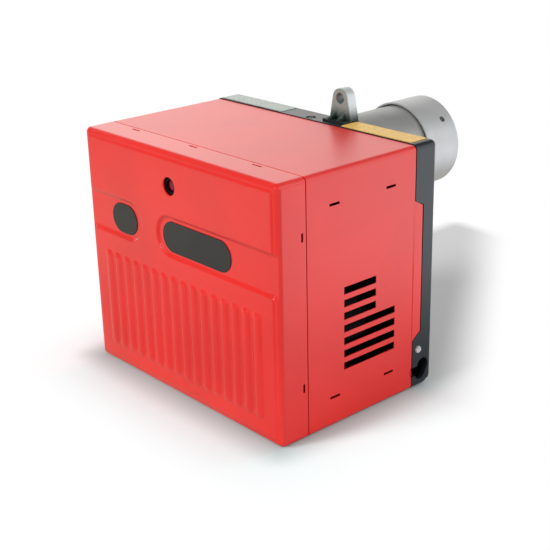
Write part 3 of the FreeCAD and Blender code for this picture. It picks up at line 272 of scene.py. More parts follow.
def distance(first, second):
    """The distance that two steps at right angles make."""
    return first.maths("SQRT", first * first + second * second)


behind = paper_y.maths("MAXIMUM", paper_y - cover_high.y)
beside_cover = outside(paper_x, cover_low.x, cover_high.x)
beside_shadow = outside(paper_x + shadow_slant * behind, cover_low.x, cover_high.x)
beyond_shadow = outside(paper_y, model_low.y, cover_high.y + shadow_length)
from_shadow = distance(beside_shadow, beyond_shadow)
from_contact = distance(beside_cover, beyond_shadow)
from_foot = distance(beside_cover, outside(paper_y, model_low.y, cover_high.y))

# Where the red cover's bounce light falls, the paper is painted cooler to cancel it.
red_glow = paper_x.between(cover_low.x + glow_across[0], cover_low.x + glow_across[1])
glow_end = paper_y.between(cover_high.y + glow_back[0], cover_high.y + glow_back[1])
red_glow = red_glow * glow_end
# Painted shadow tone round the foot and in the band behind the burner, cooler where the red bounce
# falls.
painted_shadow_tone = paper_tree.blend(red_glow, painted_shadow_grey, painted_shadow_cooled)
open_floor = paper_tree.blend(red_glow, white, painted_bounce_cancel)
uncovered = from_contact.between(-contact_reach / 3, contact_reach)
seen = paper_tree.blend(uncovered, painted_shadow_tone, open_floor)

# Painted reflection: glossy rays see the paper darker near the foot, to the left and towards the
# camera.
mirror_tone = paper_tree.blend(paper_x.between(*left_from), mirrored_far_left, mirrored_left)
mirror_tone = paper_tree.blend(paper_x.between(*right_from), mirror_tone, mirrored_right)
mirror_tone = paper_tree.blend(from_foot.between(*foot_until), mirrored_foot, mirror_tone)
alongside = paper_y.between(model_low.y - beside_depth, model_low.y)
alongside = alongside * paper_x.between(*beside_until)
mirror_tone = paper_tree.blend(alongside, mirror_tone, mirrored_beside)
nearer = paper_x - paper_y + model_low.y
mirror_tone = paper_tree.blend(nearer.between(*dark_from), mirror_tone, mirrored_dark)

# Painted light: diffuse rays see the paper darker near the burner, so it passes less light on to
# it.
lighting = paper_tree.blend((paper_x + paper_y).between(*far_from), light_near, light_far)
unseen = paper_tree.blend(to_camera.output("Is Glossy Ray"), lighting, mirror_tone)
paper_tone = paper_tree.blend(to_camera, unseen, seen)
matt = {"Base Color": paper_tone, "Roughness": 1.0, "Specular IOR Level": 0.0}
paper_shade = paper_tree.node("BsdfPrincipled", {}, matt)
paper_white = paper_tree.node("Emission", {}, {"Color": white, "Strength": 1.0})
whiter = to_camera * from_shadow.between(*white_from)
paper_shade = paper_tree.node("MixShader", {}, {0: whiter, 1: paper_shade, 2: paper_white})
paper_tree.node("OutputMaterial", {}, {"Surface": paper_shade})
floor_mesh.materials.append(paper)


# Front pan: the front half of the cover, one deep-drawn steel sheet in glossy red enamel. Its
# raised face carries two badge channels and sixteen ribs, and its rear edge steps inwards.
pan_low, pan_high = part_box("front_pan")
sheet = 1.2 * MM
edge_radius = 6 * MM
skirt_step = 1.2 * MM
rib_count = 16
rib_span = 274.2 * MM
rib_half_width = 8 * MM
rib_rise = 2.5 * MM
rib_arc_part = 0.7
rib_low = 25 * MM
rib_high = 152 * MM
cells_per_rib = 16
rim_drop = 1.4 * MM
plateau_start = 7.2 * MM
plateau_end = 9.5 * MM
channel_middle = 198.7 * MM
channel_outer = 25.8 * MM
channel_inner = 21.0 * MM
channel_depth = 3 * MM
left_channel_end = -90 * MM
right_channel_end = -11 * MM
button_x = -7.5 * MM
button_z = 258.5 * MM
button_hole = 10.4 * MM
button_rim = 1.1 * MM
button_collar = 2.2 * MM
quarter_steps = 4
pan_depth = 39.5 * MM
joggle_step = 2.2 * MM
joggle_reach = 8 * MM
top_slots = [(-4 + 109 * n) * MM for n in (-1, 0, 1)]
top_slot_half = 7.5 * MM
side_slots = (62.3 * MM, 235 * MM)
side_slot_half = 5.2 * MM
slot_front = 33.0 * MM
slot_rear = 35.8 * MM

half_width = (pan_high.x - pan_low.x) / 2
cover_height = pan_high.z - pan_low.z
middle_x = (pan_low.x + pan_high.x) / 2
face_y = pan_low.y + rib_rise
base_z = pan_low.z
rib_pitch = rib_span / (rib_count - 1)
cell = rib_pitch / cells_per_rib

red_paint = (0.80, 0.012, 0.007, 1)
enamel_index = 1.72
enamel_haze = 0.28


def toned(colour, factor, lift=0.0):
    """A colour made deeper or paler by a factor."""
    return [min(channel * factor + lift, 1) for channel in colour[:3]] + [1]


def enamel(name, colour, roughness, peel, layer, haze=enamel_haze):
    """Sprayed and baked paint: a faint drift of colour, a fine swell and a clear top."""
    material = bpy.data.materials.new(name)
    tree = Tree(material)
    place = tree.node("TexCoord", {}, {}, output="Object")
    swell = tree.node("TexNoise", {}, {"Vector": place, "Scale": 320.0, "Detail": 1.0})
    cloud = tree.node("TexNoise", {}, {"Vector": place, "Scale": 9.0, "Detail": 3.0})
    dust = tree.node("TexNoise", {}, {"Vector": place, "Scale": 1400.0, "Detail": 1.0})
    tone = tree.blend(cloud.between(0.35, 0.7), colour, toned(colour, 0.90))
    bump = tree.node("Bump", {}, {"Height": swell, "Strength": peel, "Distance": 0.4 * MM})
    coated = {
        "Base Color": tone,
        "Roughness": roughness + 0.05 * dust,
        "Normal": bump,
        "Coat Weight": layer,
        "Coat Roughness": haze,
        "Coat IOR": enamel_index,
    }
    shader = tree.node("BsdfPrincipled", {}, coated)
    tree.node("OutputMaterial", {}, {"Surface": shader})
    return material


cover_enamel = enamel("cover_enamel", red_paint, 0.44, peel=0.05, layer=1.0)


def finished(name, form, finish, modifiers=(), crease=40):
    """Makes a piece from a bmesh, applies its modifiers and smooths it up to the crease angle."""
    mesh = bpy.data.meshes.new(name)
    form.to_mesh(mesh)
    form.free()
    thing = bpy.data.objects.new(name, mesh)
    scene.collection.objects.link(thing)
    for kind, settings in modifiers:
        modifier = thing.modifiers.new(kind.lower(), kind)
        for setting, value in settings.items():
            setattr(modifier, setting, value)
    if modifiers:
        shaped = thing.evaluated_get(bpy.context.evaluated_depsgraph_get())
        thing.data = bpy.data.meshes.new_from_object(shaped)
        thing.data.name = name
        thing.modifiers.clear()
    thing.data.materials.clear()
    thing.data.materials.append(finish)
    thing.data.shade_smooth()
    thing.data.set_sharp_from_angle(angle=math.radians(crease))
    level = thing.modifiers.new("level", "WEIGHTED_NORMAL")
    level.keep_sharp = True
    return thing


def pulled(form, edges):
    """Grows a strip of sheet from open edges. Gives its new points and its new open edges."""
    grown = bmesh.ops.extrude_edge_only(form, edges=edges)["geom"]
    points = [g for g in grown if isinstance(g, bmesh.types.BMVert)]
    rim = [g for g in grown if isinstance(g, bmesh.types.BMEdge) and g.is_boundary]
    return points, rim


def soft(value, low, high):
    """0 at low, 1 at high, and a smooth step between them."""
    share = min(max((value - low) / (high - low), 0), 1)
    return share * share * (3 - 2 * share)


def rows_between(spans):
    """The heights of the grid's rows: each span is a top edge and the rows up to it."""
    rows = [0.0]
    for top, count in spans:
        start = rows[-1]
        rows += [start + (top - start) * (n + 1) / count for n in range(count)]
    return rows


def face_relief(x, z):
    """How far the drawn sheet stands in front of the rim at a point, in metres."""
    inside = min(half_width - abs(x), z, cover_height - z)
    rise = rim_drop * soft(inside, plateau_start, plateau_end)
    nearest = round((x + rib_span / 2) / rib_pitch)
    if 0 <= nearest < rib_count:
        beside = x - nearest * rib_pitch + rib_span / 2
        beyond = max(rib_low + rib_half_width - z, z - rib_high + rib_half_width, 0)
        away = math.hypot(beside, beyond)
        curve = (rib_half_width**2 + rib_rise**2) / (2 * rib_rise)
        if away < rib_half_width:
            arc = math.sqrt(curve**2 - away**2) - curve + rib_rise
            wave = rib_rise * (1 + math.cos(math.pi * away / rib_half_width)) / 2
            rise += rib_arc_part * arc + (1 - rib_arc_part) * wave
    return rise


def channel_share(x, z):
    """1 on the floor of a badge channel, 0 outside it, with a soft wall between."""
    shares = []
    for end, side in ((left_channel_end, -1), (right_channel_end, 1)):
        along = min((x - end) * side, 0)
        away = math.hypot(along, z - channel_middle)
        shares.append(1 - soft(away, channel_inner, channel_outer))
    return max(shares)


# The sheet starts flat, with a square hole for the button in a field of even cells. Its rows are
# close where it is drawn and far apart where the ribs run straight and the face is plain.
hole_square = 8.5 * cell
hole_field = 16.5 * cell
edge_zone = 11 * MM
above_ribs = 171 * MM
above_channels = 226.5 * MM
row_heights = rows_between(
    [
        (edge_zone, 9),
        (rib_low, 4),
        (rib_low + rib_half_width, 7),
        (side_slots[0] - side_slot_half, 2),
        (side_slots[0] + side_slot_half, 1),
        (rib_high - rib_half_width, 3),
        (rib_high, 7),
        (above_ribs, 3),
        (above_channels, 38),
        (side_slots[1] - side_slot_half, 2),
        (button_z - hole_field, 6),
        (button_z + hole_field, 33),
        (cover_height - edge_zone, 4),
        (cover_height, 9),
    ]
)
rows = len(row_heights) - 1
columns = round(2 * half_width / cell)

pan = bmesh.new()
bmesh.ops.create_grid(pan, x_segments=columns, y_segments=rows, size=1)
for vertex in pan.verts:
    row = round((vertex.co.y + 1) / 2 * rows)
    vertex.co = Vector((vertex.co.x * half_width, 0, row_heights[row]))
bmesh.ops.reverse_faces(pan, faces=[f for f in pan.faces if f.normal.y > 0])

hole_middle = Vector(((round(button_x / cell - 0.5) + 0.5) * cell, 0, button_z))


def from_middle(point):
    """How far a point lies from the hole's middle, along the longer of its two ways."""
    away = point - hole_middle
    return max(abs(away.x), abs(away.z))


core = [f for f in pan.faces if from_middle(f.calc_center_median()) < hole_square]
bmesh.ops.delete(pan, geom=core, context="FACES")
hole_rim = [e for e in pan.edges if e.is_boundary and from_middle(e.verts[0].co) < hole_field]
for vertex in pan.verts:
    square = from_middle(vertex.co)
    if square < hole_field:
        away = vertex.co - hole_middle
        rounded = away.normalized() * (button_hole + button_rim + square - hole_square)
        vertex.co = hole_middle + away.lerp(rounded, 1 - soft(square, hole_square, hole_field))

# Its skirt is drawn back in steps. The slots are punched through it, and then the square edges
# are pushed onto their radius and the face gets its ribs and channels.
skirt_depths = [skirt_step * n for n in range(1, 6)]
skirt_depths += [slot_front - rim_drop, slot_rear - rim_drop, pan_depth - rim_drop]
outline = [e for e in pan.edges if e.is_boundary and e not in hole_rim]
depth_now = 0.0
for depth in skirt_depths:
    points, outline = pulled(pan, outline)
    bmesh.ops.translate(pan, verts=points, vec=(0, depth - depth_now, 0))
    depth_now = depth

punched = []
for face in pan.faces:
    middle = face.calc_center_median()
    on_top = middle.z > cover_height - edge_radius
    on_side = abs(middle.x) > half_width - edge_radius
    in_top_slot = on_top and any(abs(middle.x - x) < top_slot_half for x in top_slots)
    in_side_slot = on_side and any(abs(middle.z - z) < side_slot_half for z in side_slots)
    if slot_front < middle.y + rim_drop < slot_rear and (in_top_slot or in_side_slot):
        punched.append(face)
bmesh.ops.delete(pan, geom=punched, context="FACES")
outline = [e for e in outline if e.is_valid]


def rounded_over(point, radius):
    """A point of the square pan pushed onto the pan's rounded edges."""
    centre = point.copy()
    centre.x = min(max(point.x, edge_radius - half_width), half_width - edge_radius)
    centre.y = max(point.y, edge_radius)
    centre.z = min(max(point.z, edge_radius), cover_height - edge_radius)
    away = point - centre
    return centre + away.normalized() * radius if away.length > 0 else point


for vertex in pan.verts:
    flat = vertex.co.copy()
    vertex.co = rounded_over(flat, edge_radius)
    vertex.co.y += rim_drop
    if flat.y == 0:
        vertex.co.y -= face_relief(flat.x, flat.z)
    share = channel_share(flat.x, flat.z) if flat.y < edge_radius else 0
    vertex.co.y += share * max(channel_depth - vertex.co.y, 0)

# The rear edge steps inwards and runs on under the wrapper, and the hole's edge is rolled back
# into a collar.
points, outline = pulled(pan, outline)
for vertex in points:
    level = vertex.co.y
    at_edge = Vector((vertex.co.x, edge_radius, vertex.co.z))
    vertex.co = rounded_over(at_edge, edge_radius - joggle_step)
    vertex.co.y = level
points, outline = pulled(pan, outline)
bmesh.ops.translate(pan, verts=points, vec=(0, joggle_reach, 0))

collar = []
for step in range(1, quarter_steps + 1):
    turn = math.radians(90 * step / quarter_steps)
    rolled_in = button_rim * (1 - math.sin(turn))
    collar.append((button_hole + rolled_in, button_rim * (1 - math.cos(turn))))
collar.append((button_hole, button_collar))
for radius, level in collar:
    points, hole_rim = pulled(pan, hole_rim)
    for vertex in points:
        away = Vector((vertex.co.x - button_x, 0, vertex.co.z - button_z)).normalized()
        vertex.co = Vector((button_x, level, button_z)) + away * radius

bmesh.ops.recalc_face_normals(pan, faces=pan.faces)
bmesh.ops.translate(pan, verts=pan.verts, vec=(middle_x, face_y, base_z))
sheet_wall = ("SOLIDIFY", {"thickness": sheet, "offset": -1, "use_even_offset": True})
front_pan = finished("cover_front", pan, cover_enamel, [sheet_wall])
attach(front_pan, "cover")
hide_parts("front_pan")


# Wrapper: the rear half of the cover, one sheet folded round the burner. Slots and vents are
# punched through it, and a tab on each side reaches back over the casting.
wrap_rear = 206.5 * MM
seam_open = 0.4 * MM
fold_steps = 9
tab_reach = 13.2 * MM
tab_low = 73 * MM
tab_high = 227.5 * MM
tab_foot = 63 * MM
tab_head = 234.5 * MM
crease_y = 205.6 * MM
crease_half = 1.0 * MM
crease_depth = 0.55 * MM
slot_half = 7.5 * MM
slot_rise = 1.5 * MM
slot_places = [(y * MM, z * MM) for y in (81, 167) for z in (36, 260.5)]
vent_front = 95 * MM
vent_lengths = [50 * MM] * 3 + [81 * MM] * 4
vent_top = 158.4 * MM
vent_pitch = 15 * MM
vent_rise = 4.4 * MM
notch_z = 22 * MM
notch_radius = 10 * MM
notch_depth = 2.2 * MM
notch_cuts = (-0.62, -0.5, -0.33, -0.15, 0, 0.15, 0.33, 0.5, 0.62)
cut_edge = 0.22 * MM
cut_edge_angle = math.radians(50)
wrapper_haze = 0.31
# The play that is allowed where faces and edges are picked by their place.
hair = 0.01 * MM

slots = [(y - slot_half, y + slot_half, z - slot_rise, z + slot_rise) for y, z in slot_places]
vents = []
for count, length in enumerate(vent_lengths):
    level = vent_top - count * vent_pitch
    vents.append((vent_front, vent_front + length, level - vent_rise, level + vent_rise))

wrap = bmesh.new()
bmesh.ops.create_cube(wrap, size=1)
wrap_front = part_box("wrapper")[0].y - face_y + seam_open
wrap_size = (2 * half_width, wrap_rear - wrap_front, cover_height)
wrap_middle = (0, (wrap_rear + wrap_front) / 2, cover_height / 2)
bmesh.ops.scale(wrap, verts=wrap.verts, vec=wrap_size)
bmesh.ops.translate(wrap, verts=wrap.verts, vec=wrap_middle)
ends = [f for f in wrap.faces if abs(f.normal.y) > 0.9]
bmesh.ops.delete(wrap, geom=ends, context="FACES_ONLY")
folds = [e for e in wrap.edges if abs(e.verts[0].co.y - e.verts[1].co.y) > edge_radius]
bmesh.ops.bevel(
    wrap,
    geom=folds,
    offset=edge_radius,
    affect="EDGES",
    segments=fold_steps,
    profile=0.5,
    material=-1,
)
wall_x = half_width - hair


def score(form, side, place, normal):
    """Cuts one side wall along a plane, so that what lies between the cuts can be punched out."""
    wall = [f for f in form.faces if f.calc_center_median().x * side > wall_x]
    parts = set(wall)
    for face in wall:
        parts.update(face.edges)
        parts.update(face.verts)
    bmesh.ops.bisect_plane(form, geom=list(parts), plane_co=place, plane_no=normal)


for side, holes in ((1, slots + vents), (-1, slots)):
    levels = {z for hole in holes for z in hole[2:]} | {tab_foot, tab_head}
    if side > 0:
        levels |= {notch_z + notch_radius * share for share in notch_cuts}
    depths = {y for hole in holes for y in hole[:2]}
    depths |= {crease_y - crease_half, crease_y, crease_y + crease_half}
    for level in sorted(levels):
        score(wrap, side, (0, 0, level), (0, 0, 1))
    for depth in sorted(depths):
        score(wrap, side, (0, depth, 0), (0, 1, 0))
    punched = []
    for face in wrap.faces:
        middle = face.calc_center_median()
        in_hole = any(y0 < middle.y < y1 and z0 < middle.z < z1 for y0, y1, z0, z1 in holes)
        if middle.x * side > wall_x and in_hole:
            punched.append(face)
    bmesh.ops.delete(wrap, geom=punched, context="FACES")

for vertex in wrap.verts:
    on_side = abs(vertex.co.x) > wall_x
    before_tab = tab_foot < vertex.co.z < tab_head
    if on_side and before_tab and abs(vertex.co.y - crease_y) < hair:
        vertex.co.x -= math.copysign(crease_depth, vertex.co.x)
    if on_side and before_tab and vertex.co.y > crease_y + crease_half / 2:
        vertex.co.x += math.copysign(crease_depth, vertex.co.x) / 2
    if vertex.co.x > wall_x and abs(vertex.co.y - wrap_rear) < hair:
        beside = abs(vertex.co.z - notch_z)
        if beside < notch_radius:
            arc = math.sqrt(notch_radius**2 - beside**2) - notch_radius
            vertex.co.y -= max(arc + notch_depth, 0)


def at_tab_root(point):
    """Whether a point lies on the rear edge of a side wall, where its tab starts."""
    at_rear = abs(point.y - wrap_rear) < hair and abs(point.x) > wall_x
    return at_rear and tab_foot - hair < point.z < tab_head + hair


tab_roots = [e for e in wrap.edges if all(at_tab_root(v.co) for v in e.verts)]
for vertex in pulled(wrap, tab_roots)[0]:
    vertex.co.y += tab_reach
    vertex.co.z = min(max(vertex.co.z, tab_low), tab_high)

bmesh.ops.recalc_face_normals(wrap, faces=wrap.faces)
bmesh.ops.translate(wrap, verts=wrap.verts, vec=(middle_x, face_y, base_z))
wrapper_enamel = enamel("wrapper_enamel", red_paint, 0.46, peel=0.05, layer=1.0, haze=wrapper_haze)
eased_cuts = ("BEVEL", {"width": cut_edge, "segments": 2, "angle_limit": cut_edge_angle})
cover_wrapper = finished("cover_wrapper", wrap, wrapper_enamel, [sheet_wall, eased_cuts])
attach(cover_wrapper, "cover")
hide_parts("wrapper")


# Badge plates: two dark glossy plates with round ends, bonded into the channels and left bare.
# Their edges are rounded over, as on a moulded plate.
badge_colour = (0.022, 0.023, 0.022, 1)
badge_edge = 0.4 * MM
badge_end_share = 0.4995
# Points that are nearer than this become one.
weld = 0.001 * MM


def moulded(name, colour, roughness, grain, depth, layer=0.0, mirror=0.5, glow=None):
    """Moulded plastic: one colour with a fine spark-eroded grain, smoother where it is rubbed."""
    material = bpy.data.materials.new(name)
    tree = Tree(material)
    place = tree.node("TexCoord", {}, {}, output="Object")
    fine = tree.node("TexNoise", {}, {"Vector": place, "Scale": grain, "Detail": 2.0})
    patch_noise = tree.node("TexNoise", {}, {"Vector": place, "Scale": grain / 60, "Detail": 3.0})
    tone = tree.blend(0.6 * patch_noise.between(0.35, 0.75), colour, toned(colour, 1.25, lift=0.004))
    bump = tree.node("Bump", {}, {"Height": fine, "Strength": depth, "Distance": 0.2 * MM})
    plastic = {
        "Base Color": tone,
        "Roughness": roughness + 0.12 * patch_noise,
        "Normal": bump,
        "Coat Weight": layer,
        "Specular IOR Level": mirror,
    }
    if glow:
        plastic.update({"Emission Color": glow, "Emission Strength": 1.0})
    shader = tree.node("BsdfPrincipled", {}, plastic)
    tree.node("OutputMaterial", {}, {"Surface": shader})
    return material


badge_finish = moulded("badge_finish", badge_colour, 0.16, grain=900, depth=0.06)


def eased(form, edges, width, steps):
    """Rounds edges over."""
    bmesh.ops.bevel(
        form, geom=edges, offset=width, affect="EDGES", segments=steps, profile=0.5, material=-1
    )


def flat_plate(low, high, corner, edge, facing):
    """A plate that fills a box, with round corners and its outer face's edges rounded over."""
    form = bmesh.new()
    bmesh.ops.create_cube(form, size=1)
    bmesh.ops.scale(form, verts=form.verts, vec=high - low)
    bmesh.ops.translate(form, verts=form.verts, vec=(high + low) / 2)
    runs = [(e, e.verts[0].co - e.verts[1].co) for e in form.edges]
    eased(form, [e for e, run in runs if abs(run.dot(facing)) > weld], corner, 14)
    bmesh.ops.remove_doubles(form, verts=form.verts, dist=weld)
    outer = [f for f in form.faces if f.normal.dot(facing) > 0.99]
    eased(form, [e for f in outer for e in f.edges], edge, 3)
    return form


for node in ("badge_large", "badge_small"):
    low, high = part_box(node)
    end_radius = (high.z - low.z) * badge_end_share
    form = flat_plate(low, high, end_radius, badge_edge, Vector((0, -1, 0)))
    plate = finished(node + "_plate", form, badge_finish)
    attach(plate, "cover")
    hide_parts(node)


# Reset button: a domed translucent cap that sits deep in a black plastic ring, which stands in
# the hole of the cover. Both are moulded and turn about the same middle line.
ring_low, ring_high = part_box("reset_bezel")
cap_low, cap_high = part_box("reset_button")
ring_middle = (ring_low + ring_high) / 2
ring_outer = (ring_high.x - ring_low.x) / 2
ring_depth = ring_high.y - ring_low.y
ring_bore = 7 * MM
ring_round = 0.9 * MM
cap_radius = (cap_high.x - cap_low.x) / 2
cap_dome = 1.8 * MM
cap_forward = 4.5 * MM
cap_depth = cap_high.y - cap_low.y + cap_forward
dome_steps = 15
turned_steps = 72
button_red = (0.13, 0.004, 0.014, 1)
# The cap's faint glow is a painted glow; no lamp lights it from within.
button_painted_glow = (0.035, 0.001, 0.006, 1)
ring_black = (0.004, 0.004, 0.004, 1)


def turned(profile, front_y, closed=False):
    """A profile of (radius, way to the rear) points, spun a full turn about the ring's middle."""
    form = bmesh.new()
    centre = Vector((ring_middle.x, front_y, ring_middle.z))
    to_rear = Vector((0, 1, 0))
    side = to_rear.orthogonal().normalized()
    verts = [form.verts.new(centre + side * radius + to_rear * way) for radius, way in profile]
    links = [form.edges.new(pair) for pair in zip(verts, verts[1:])]
    if closed:
        links.append(form.edges.new((verts[-1], verts[0])))
    bmesh.ops.spin(
        form,
        geom=verts + links,
        cent=centre,
        axis=to_rear,
        angle=math.tau,
        steps=turned_steps,
        use_merge=True,
    )
    bmesh.ops.remove_doubles(form, verts=form.verts, dist=weld / 10)
    bmesh.ops.recalc_face_normals(form, faces=form.faces)
    return form


def front_corner(radius, outwards):
    """A quarter circle at a front corner of the ring's profile, from the front to the wall."""
    points = []
    for step in range(quarter_steps + 1):
        turn = math.radians(90 * step / quarter_steps)
        inset = outwards * ring_round * (1 - math.sin(turn))
        points.append((radius - inset, ring_round * (1 - math.cos(turn))))
    return points


ring_profile = [(ring_outer, ring_depth)] + front_corner(ring_outer, 1)[::-1]
ring_profile += front_corner(ring_bore, -1) + [(ring_bore, ring_depth)]
ring_finish = moulded("bezel_finish", ring_black, 0.16, grain=1500, depth=0.03, mirror=0.2)
ring_form = turned(ring_profile, ring_low.y, closed=True)
button_ring = finished("button_ring", ring_form, ring_finish, crease=50)
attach(button_ring, "housing")
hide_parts("reset_bezel")

cap_profile = []
for step in range(dome_steps):
    turn = math.radians(90 * step / dome_steps)
    cap_profile.append((cap_radius * math.sin(turn), cap_dome * (1 - math.cos(turn))))
cap_profile += [(cap_radius, cap_dome), (cap_radius, cap_depth), (0, cap_depth)]
cap_finish = moulded(
    "button_finish", button_red, 0.16, grain=700, depth=0.02, layer=0.2, glow=button_painted_glow
)
button_cap = finished("button_cap", turned(cap_profile, cap_low.y - cap_forward), cap_finish)
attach(button_cap, "button")
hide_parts("reset_button")


# Casting: the black enamelled alloy body that everything is bolted to, with its soft cast edges
# and the air intake drum on its side. Its lower rear edge is drawn in further than the frame's.
record = frame["record"]
body_of = {node: body for body, nodes in record["behaviour"]["bodies"].items() for node in nodes}
casting_black = (0.014, 0.021, 0.025, 1)
foot_radius = 12 * MM
foot_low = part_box("fan_housing")[0].z
foot_steps = 8
facet_angle = math.radians(0.5)
edge_angle = math.radians(38)


def softened(node, rounding, finish, crease=40, segments=2, shaping=None):
    """A copy of a frame piece whose facets are joined and whose edges are rounded over."""
    form = bmesh.new()
    form.from_mesh(frame["nodes"][node].data)
    bmesh.ops.remove_doubles(form, verts=form.verts, dist=2 * weld)
    bmesh.ops.dissolve_limit(
        form,
        angle_limit=facet_angle,
        use_dissolve_boundaries=False,
        verts=form.verts,
        edges=form.edges,
    )
    if shaping:
        shaping(form)
    easing = {
        "width": rounding,
        "segments": segments,
        "angle_limit": edge_angle,
        "use_clamp_overlap": True,
    }
    copy = finished(node + "_finished", form, finish, [("BEVEL", easing)], crease)
    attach(copy, body_of[node])
    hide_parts(node)


def rounded_foot(form):
    """Draws in the casting's lower rear edge: squares about a middle line become circles.

    The frame's edge is already round and not square, so a groove is left along its middle.
    """
    centre_y = max(v.co.y for v in form.verts if v.co.z < foot_low + foot_radius) - foot_radius
    centre_z = foot_low + foot_radius
    for step in range(foot_steps):
        way = foot_radius * step / foot_steps
        upright = {"plane_co": (0, centre_y + way, 0), "plane_no": (0, 1, 0)}
        lying = {"plane_co": (0, 0, centre_z - way), "plane_no": (0, 0, 1)}
        for plane in (upright, lying):
            whole = form.verts[:] + form.edges[:] + form.faces[:]
            bmesh.ops.bisect_plane(form, geom=whole, dist=weld / 10, **plane)
    for vertex in form.verts:
        out, down = vertex.co.y - centre_y, centre_z - vertex.co.z
        if out > 0 and down > 0:
            share = max(out, down) / math.hypot(out, down)
            vertex.co.y = centre_y + out * share
            vertex.co.z = centre_z - down * share


casting_finish = enamel("casting_enamel", casting_black, 0.34, peel=0.22, layer=0.5)
softened("fan_housing", 0.9 * MM, casting_finish, shaping=rounded_foot)
softened("intake_box", 0.7 * MM, casting_finish)


# Lifting eye: a cast lug on the casting's top, with its hole machined and its edges soft from the
# mould. It is bare metal, with painted shade on its front face and inside its hole, and it turns
# darker towards its foot and gussets.
lug_low, lug_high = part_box("lifting_eye")
lug_thickness = 14 * MM
lug_face = lug_high.y - lug_thickness
lug_middle = (lug_low.x + lug_high.x) / 2
lug_hole = 6 * MM
lug_hole_height = 28 * MM
lug_hole_z = cover_high.z + lug_hole_height
lug_alloy = (0.90, 0.94, 0.95, 1)
lug_front_shade = (0.41, 0.60, 0.55, 1)
lug_front_shade_depth = (0.5 * MM, 2.0 * MM)
lug_hole_shade = (0.30, 0.31, 0.31, 1)
lug_hole_shade_reach = (0.3 * MM, 1.0 * MM)
lug_foot_tone = (0.035, 0.048, 0.044, 1)
lug_foot_tone_height = (1 * MM, 22 * MM)
overlay_edge_spread = 0.4


def bare_metal(name, colour, roughness, grain, depth, shine=1.0, spread=0.12, stretch=(1, 1, 1)):
    """Bare metal. The grain is stretched along a direction for brushed and turned surfaces."""
    material = bpy.data.materials.new(name)
    tree = Tree(material)
    place = tree.node("TexCoord", {}, {}, output="Object")
    drawn = tree.node("Mapping", {}, {"Vector": place, "Scale": stretch})
    marks = {"Vector": drawn, "Scale": grain, "Detail": 4.0, "Roughness": 0.6}
    fine = tree.node("TexNoise", {}, marks)
    cloud = tree.node("TexNoise", {}, {"Vector": place, "Scale": 22.0, "Detail": 4.0})
    drift = 0.5 * fine + 0.5 * cloud.between(0.3, 0.75)
    metal = {
        "Base Color": tree.blend(drift, colour, toned(colour, 0.78)),
        "Metallic": shine,
        "Roughness": roughness - spread / 2 + spread * fine,
        "Normal": tree.node("Bump", {}, {"Height": fine, "Strength": depth, "Distance": 0.3 * MM}),
    }
    shader = tree.node("BsdfPrincipled", {}, metal)
    tree.node("OutputMaterial", {}, {"Surface": shader})
    return material


def overlaid(material, overlay_colour, measure, low, high):
    """Lays another colour over a metal's own up to where a measure of X, Y and Z is low, with a
    ragged edge.
    """
    tree = Tree(material, fresh=False)
    shader = next(node for node in tree.nodes if node.type == "BSDF_PRINCIPLED")
    tone = shader.inputs["Base Color"]
    place = tree.node("TexCoord", {}, {}, output="Object")
    x = tree.node("SeparateXYZ", {}, {"Vector": place}, output="X")
    measured = measure(x, x.output("Y"), x.output("Z"))
    patch_noise = tree.node("TexNoise", {}, {"Vector": place, "Scale": 160.0, "Detail": 3.0})
    bare = (measured + overlay_edge_spread * (high - low) * (patch_noise - 0.5)).between(low, high)
    metal = Value(tree, tone.links[0].from_socket)
    tree.links.new(tree.blend(bare, overlay_colour, metal).socket, tone)


def from_hole(x, y, z):
    """How far a point lies outside the wall of the lug's hole."""
    return distance(x - lug_middle, z - lug_hole_z) - lug_hole


lug_finish = bare_metal("lug_alloy", lug_alloy, 0.45, grain=1500, depth=0.35, shine=0.6)
# Painted shade: the lug's front face is darker than its sides.
overlaid(lug_finish, lug_front_shade, lambda x, y, z: y - lug_face, *lug_front_shade_depth)
# Painted shade on the wall of the lug's hole.
overlaid(lug_finish, lug_hole_shade, from_hole, *lug_hole_shade_reach)
# Darker towards the lug's foot and gussets.
overlaid(lug_finish, lug_foot_tone, lambda x, y, z: z - lug_low.z, *lug_foot_tone_height)
softened("lifting_eye", 1.3 * MM, lug_finish, segments=3)


# Plates on the casting's top: two pieces of thin foil, one silver and one yellow, bonded on and
# left bare. They take small dents from the cast surface below.
foil_corner = 1.5 * MM
foil_edge = 0.15 * MM
silver_foil = (0.56, 0.62, 0.58, 1)
yellow_foil = (0.80, 0.50, 0.12, 1)


def foil(name, colour, shine):
    """Coloured foil: flat colour with a light drift and small dents from the surface below."""
    material = bpy.data.materials.new(name)
    tree = Tree(material)
    place = tree.node("TexCoord", {}, {}, output="Object")
    dents = tree.node("TexNoise", {}, {"Vector": place, "Scale": 140.0, "Detail": 3.0})
    cloud = tree.node("TexNoise", {}, {"Vector": place, "Scale": 420.0, "Detail": 4.0})
    dented = {
        "Base Color": tree.blend(cloud.between(0.35, 0.7), colour, toned(colour, 0.74)),
        "Metallic": shine,
        "Roughness": 0.30 + 0.15 * cloud,
        "Normal": tree.node("Bump", {}, {"Height": dents, "Strength": 0.25, "Distance": 0.3 * MM}),
    }
    shader = tree.node("BsdfPrincipled", {}, dented)
    tree.node("OutputMaterial", {}, {"Surface": shader})
    return material


for node, finish in (
    ("silver_plate", foil("silver_foil", silver_foil, shine=0.6)),
    ("yellow_plate", foil("yellow_foil", yellow_foil, shine=0.0)),
):
    low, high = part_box(node)
    form = flat_plate(low, high, foil_corner, foil_edge, Vector((0, 0, 1)))
    plate = finished(node + "_foil", form, finish)
    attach(plate, "housing")
    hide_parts(node)
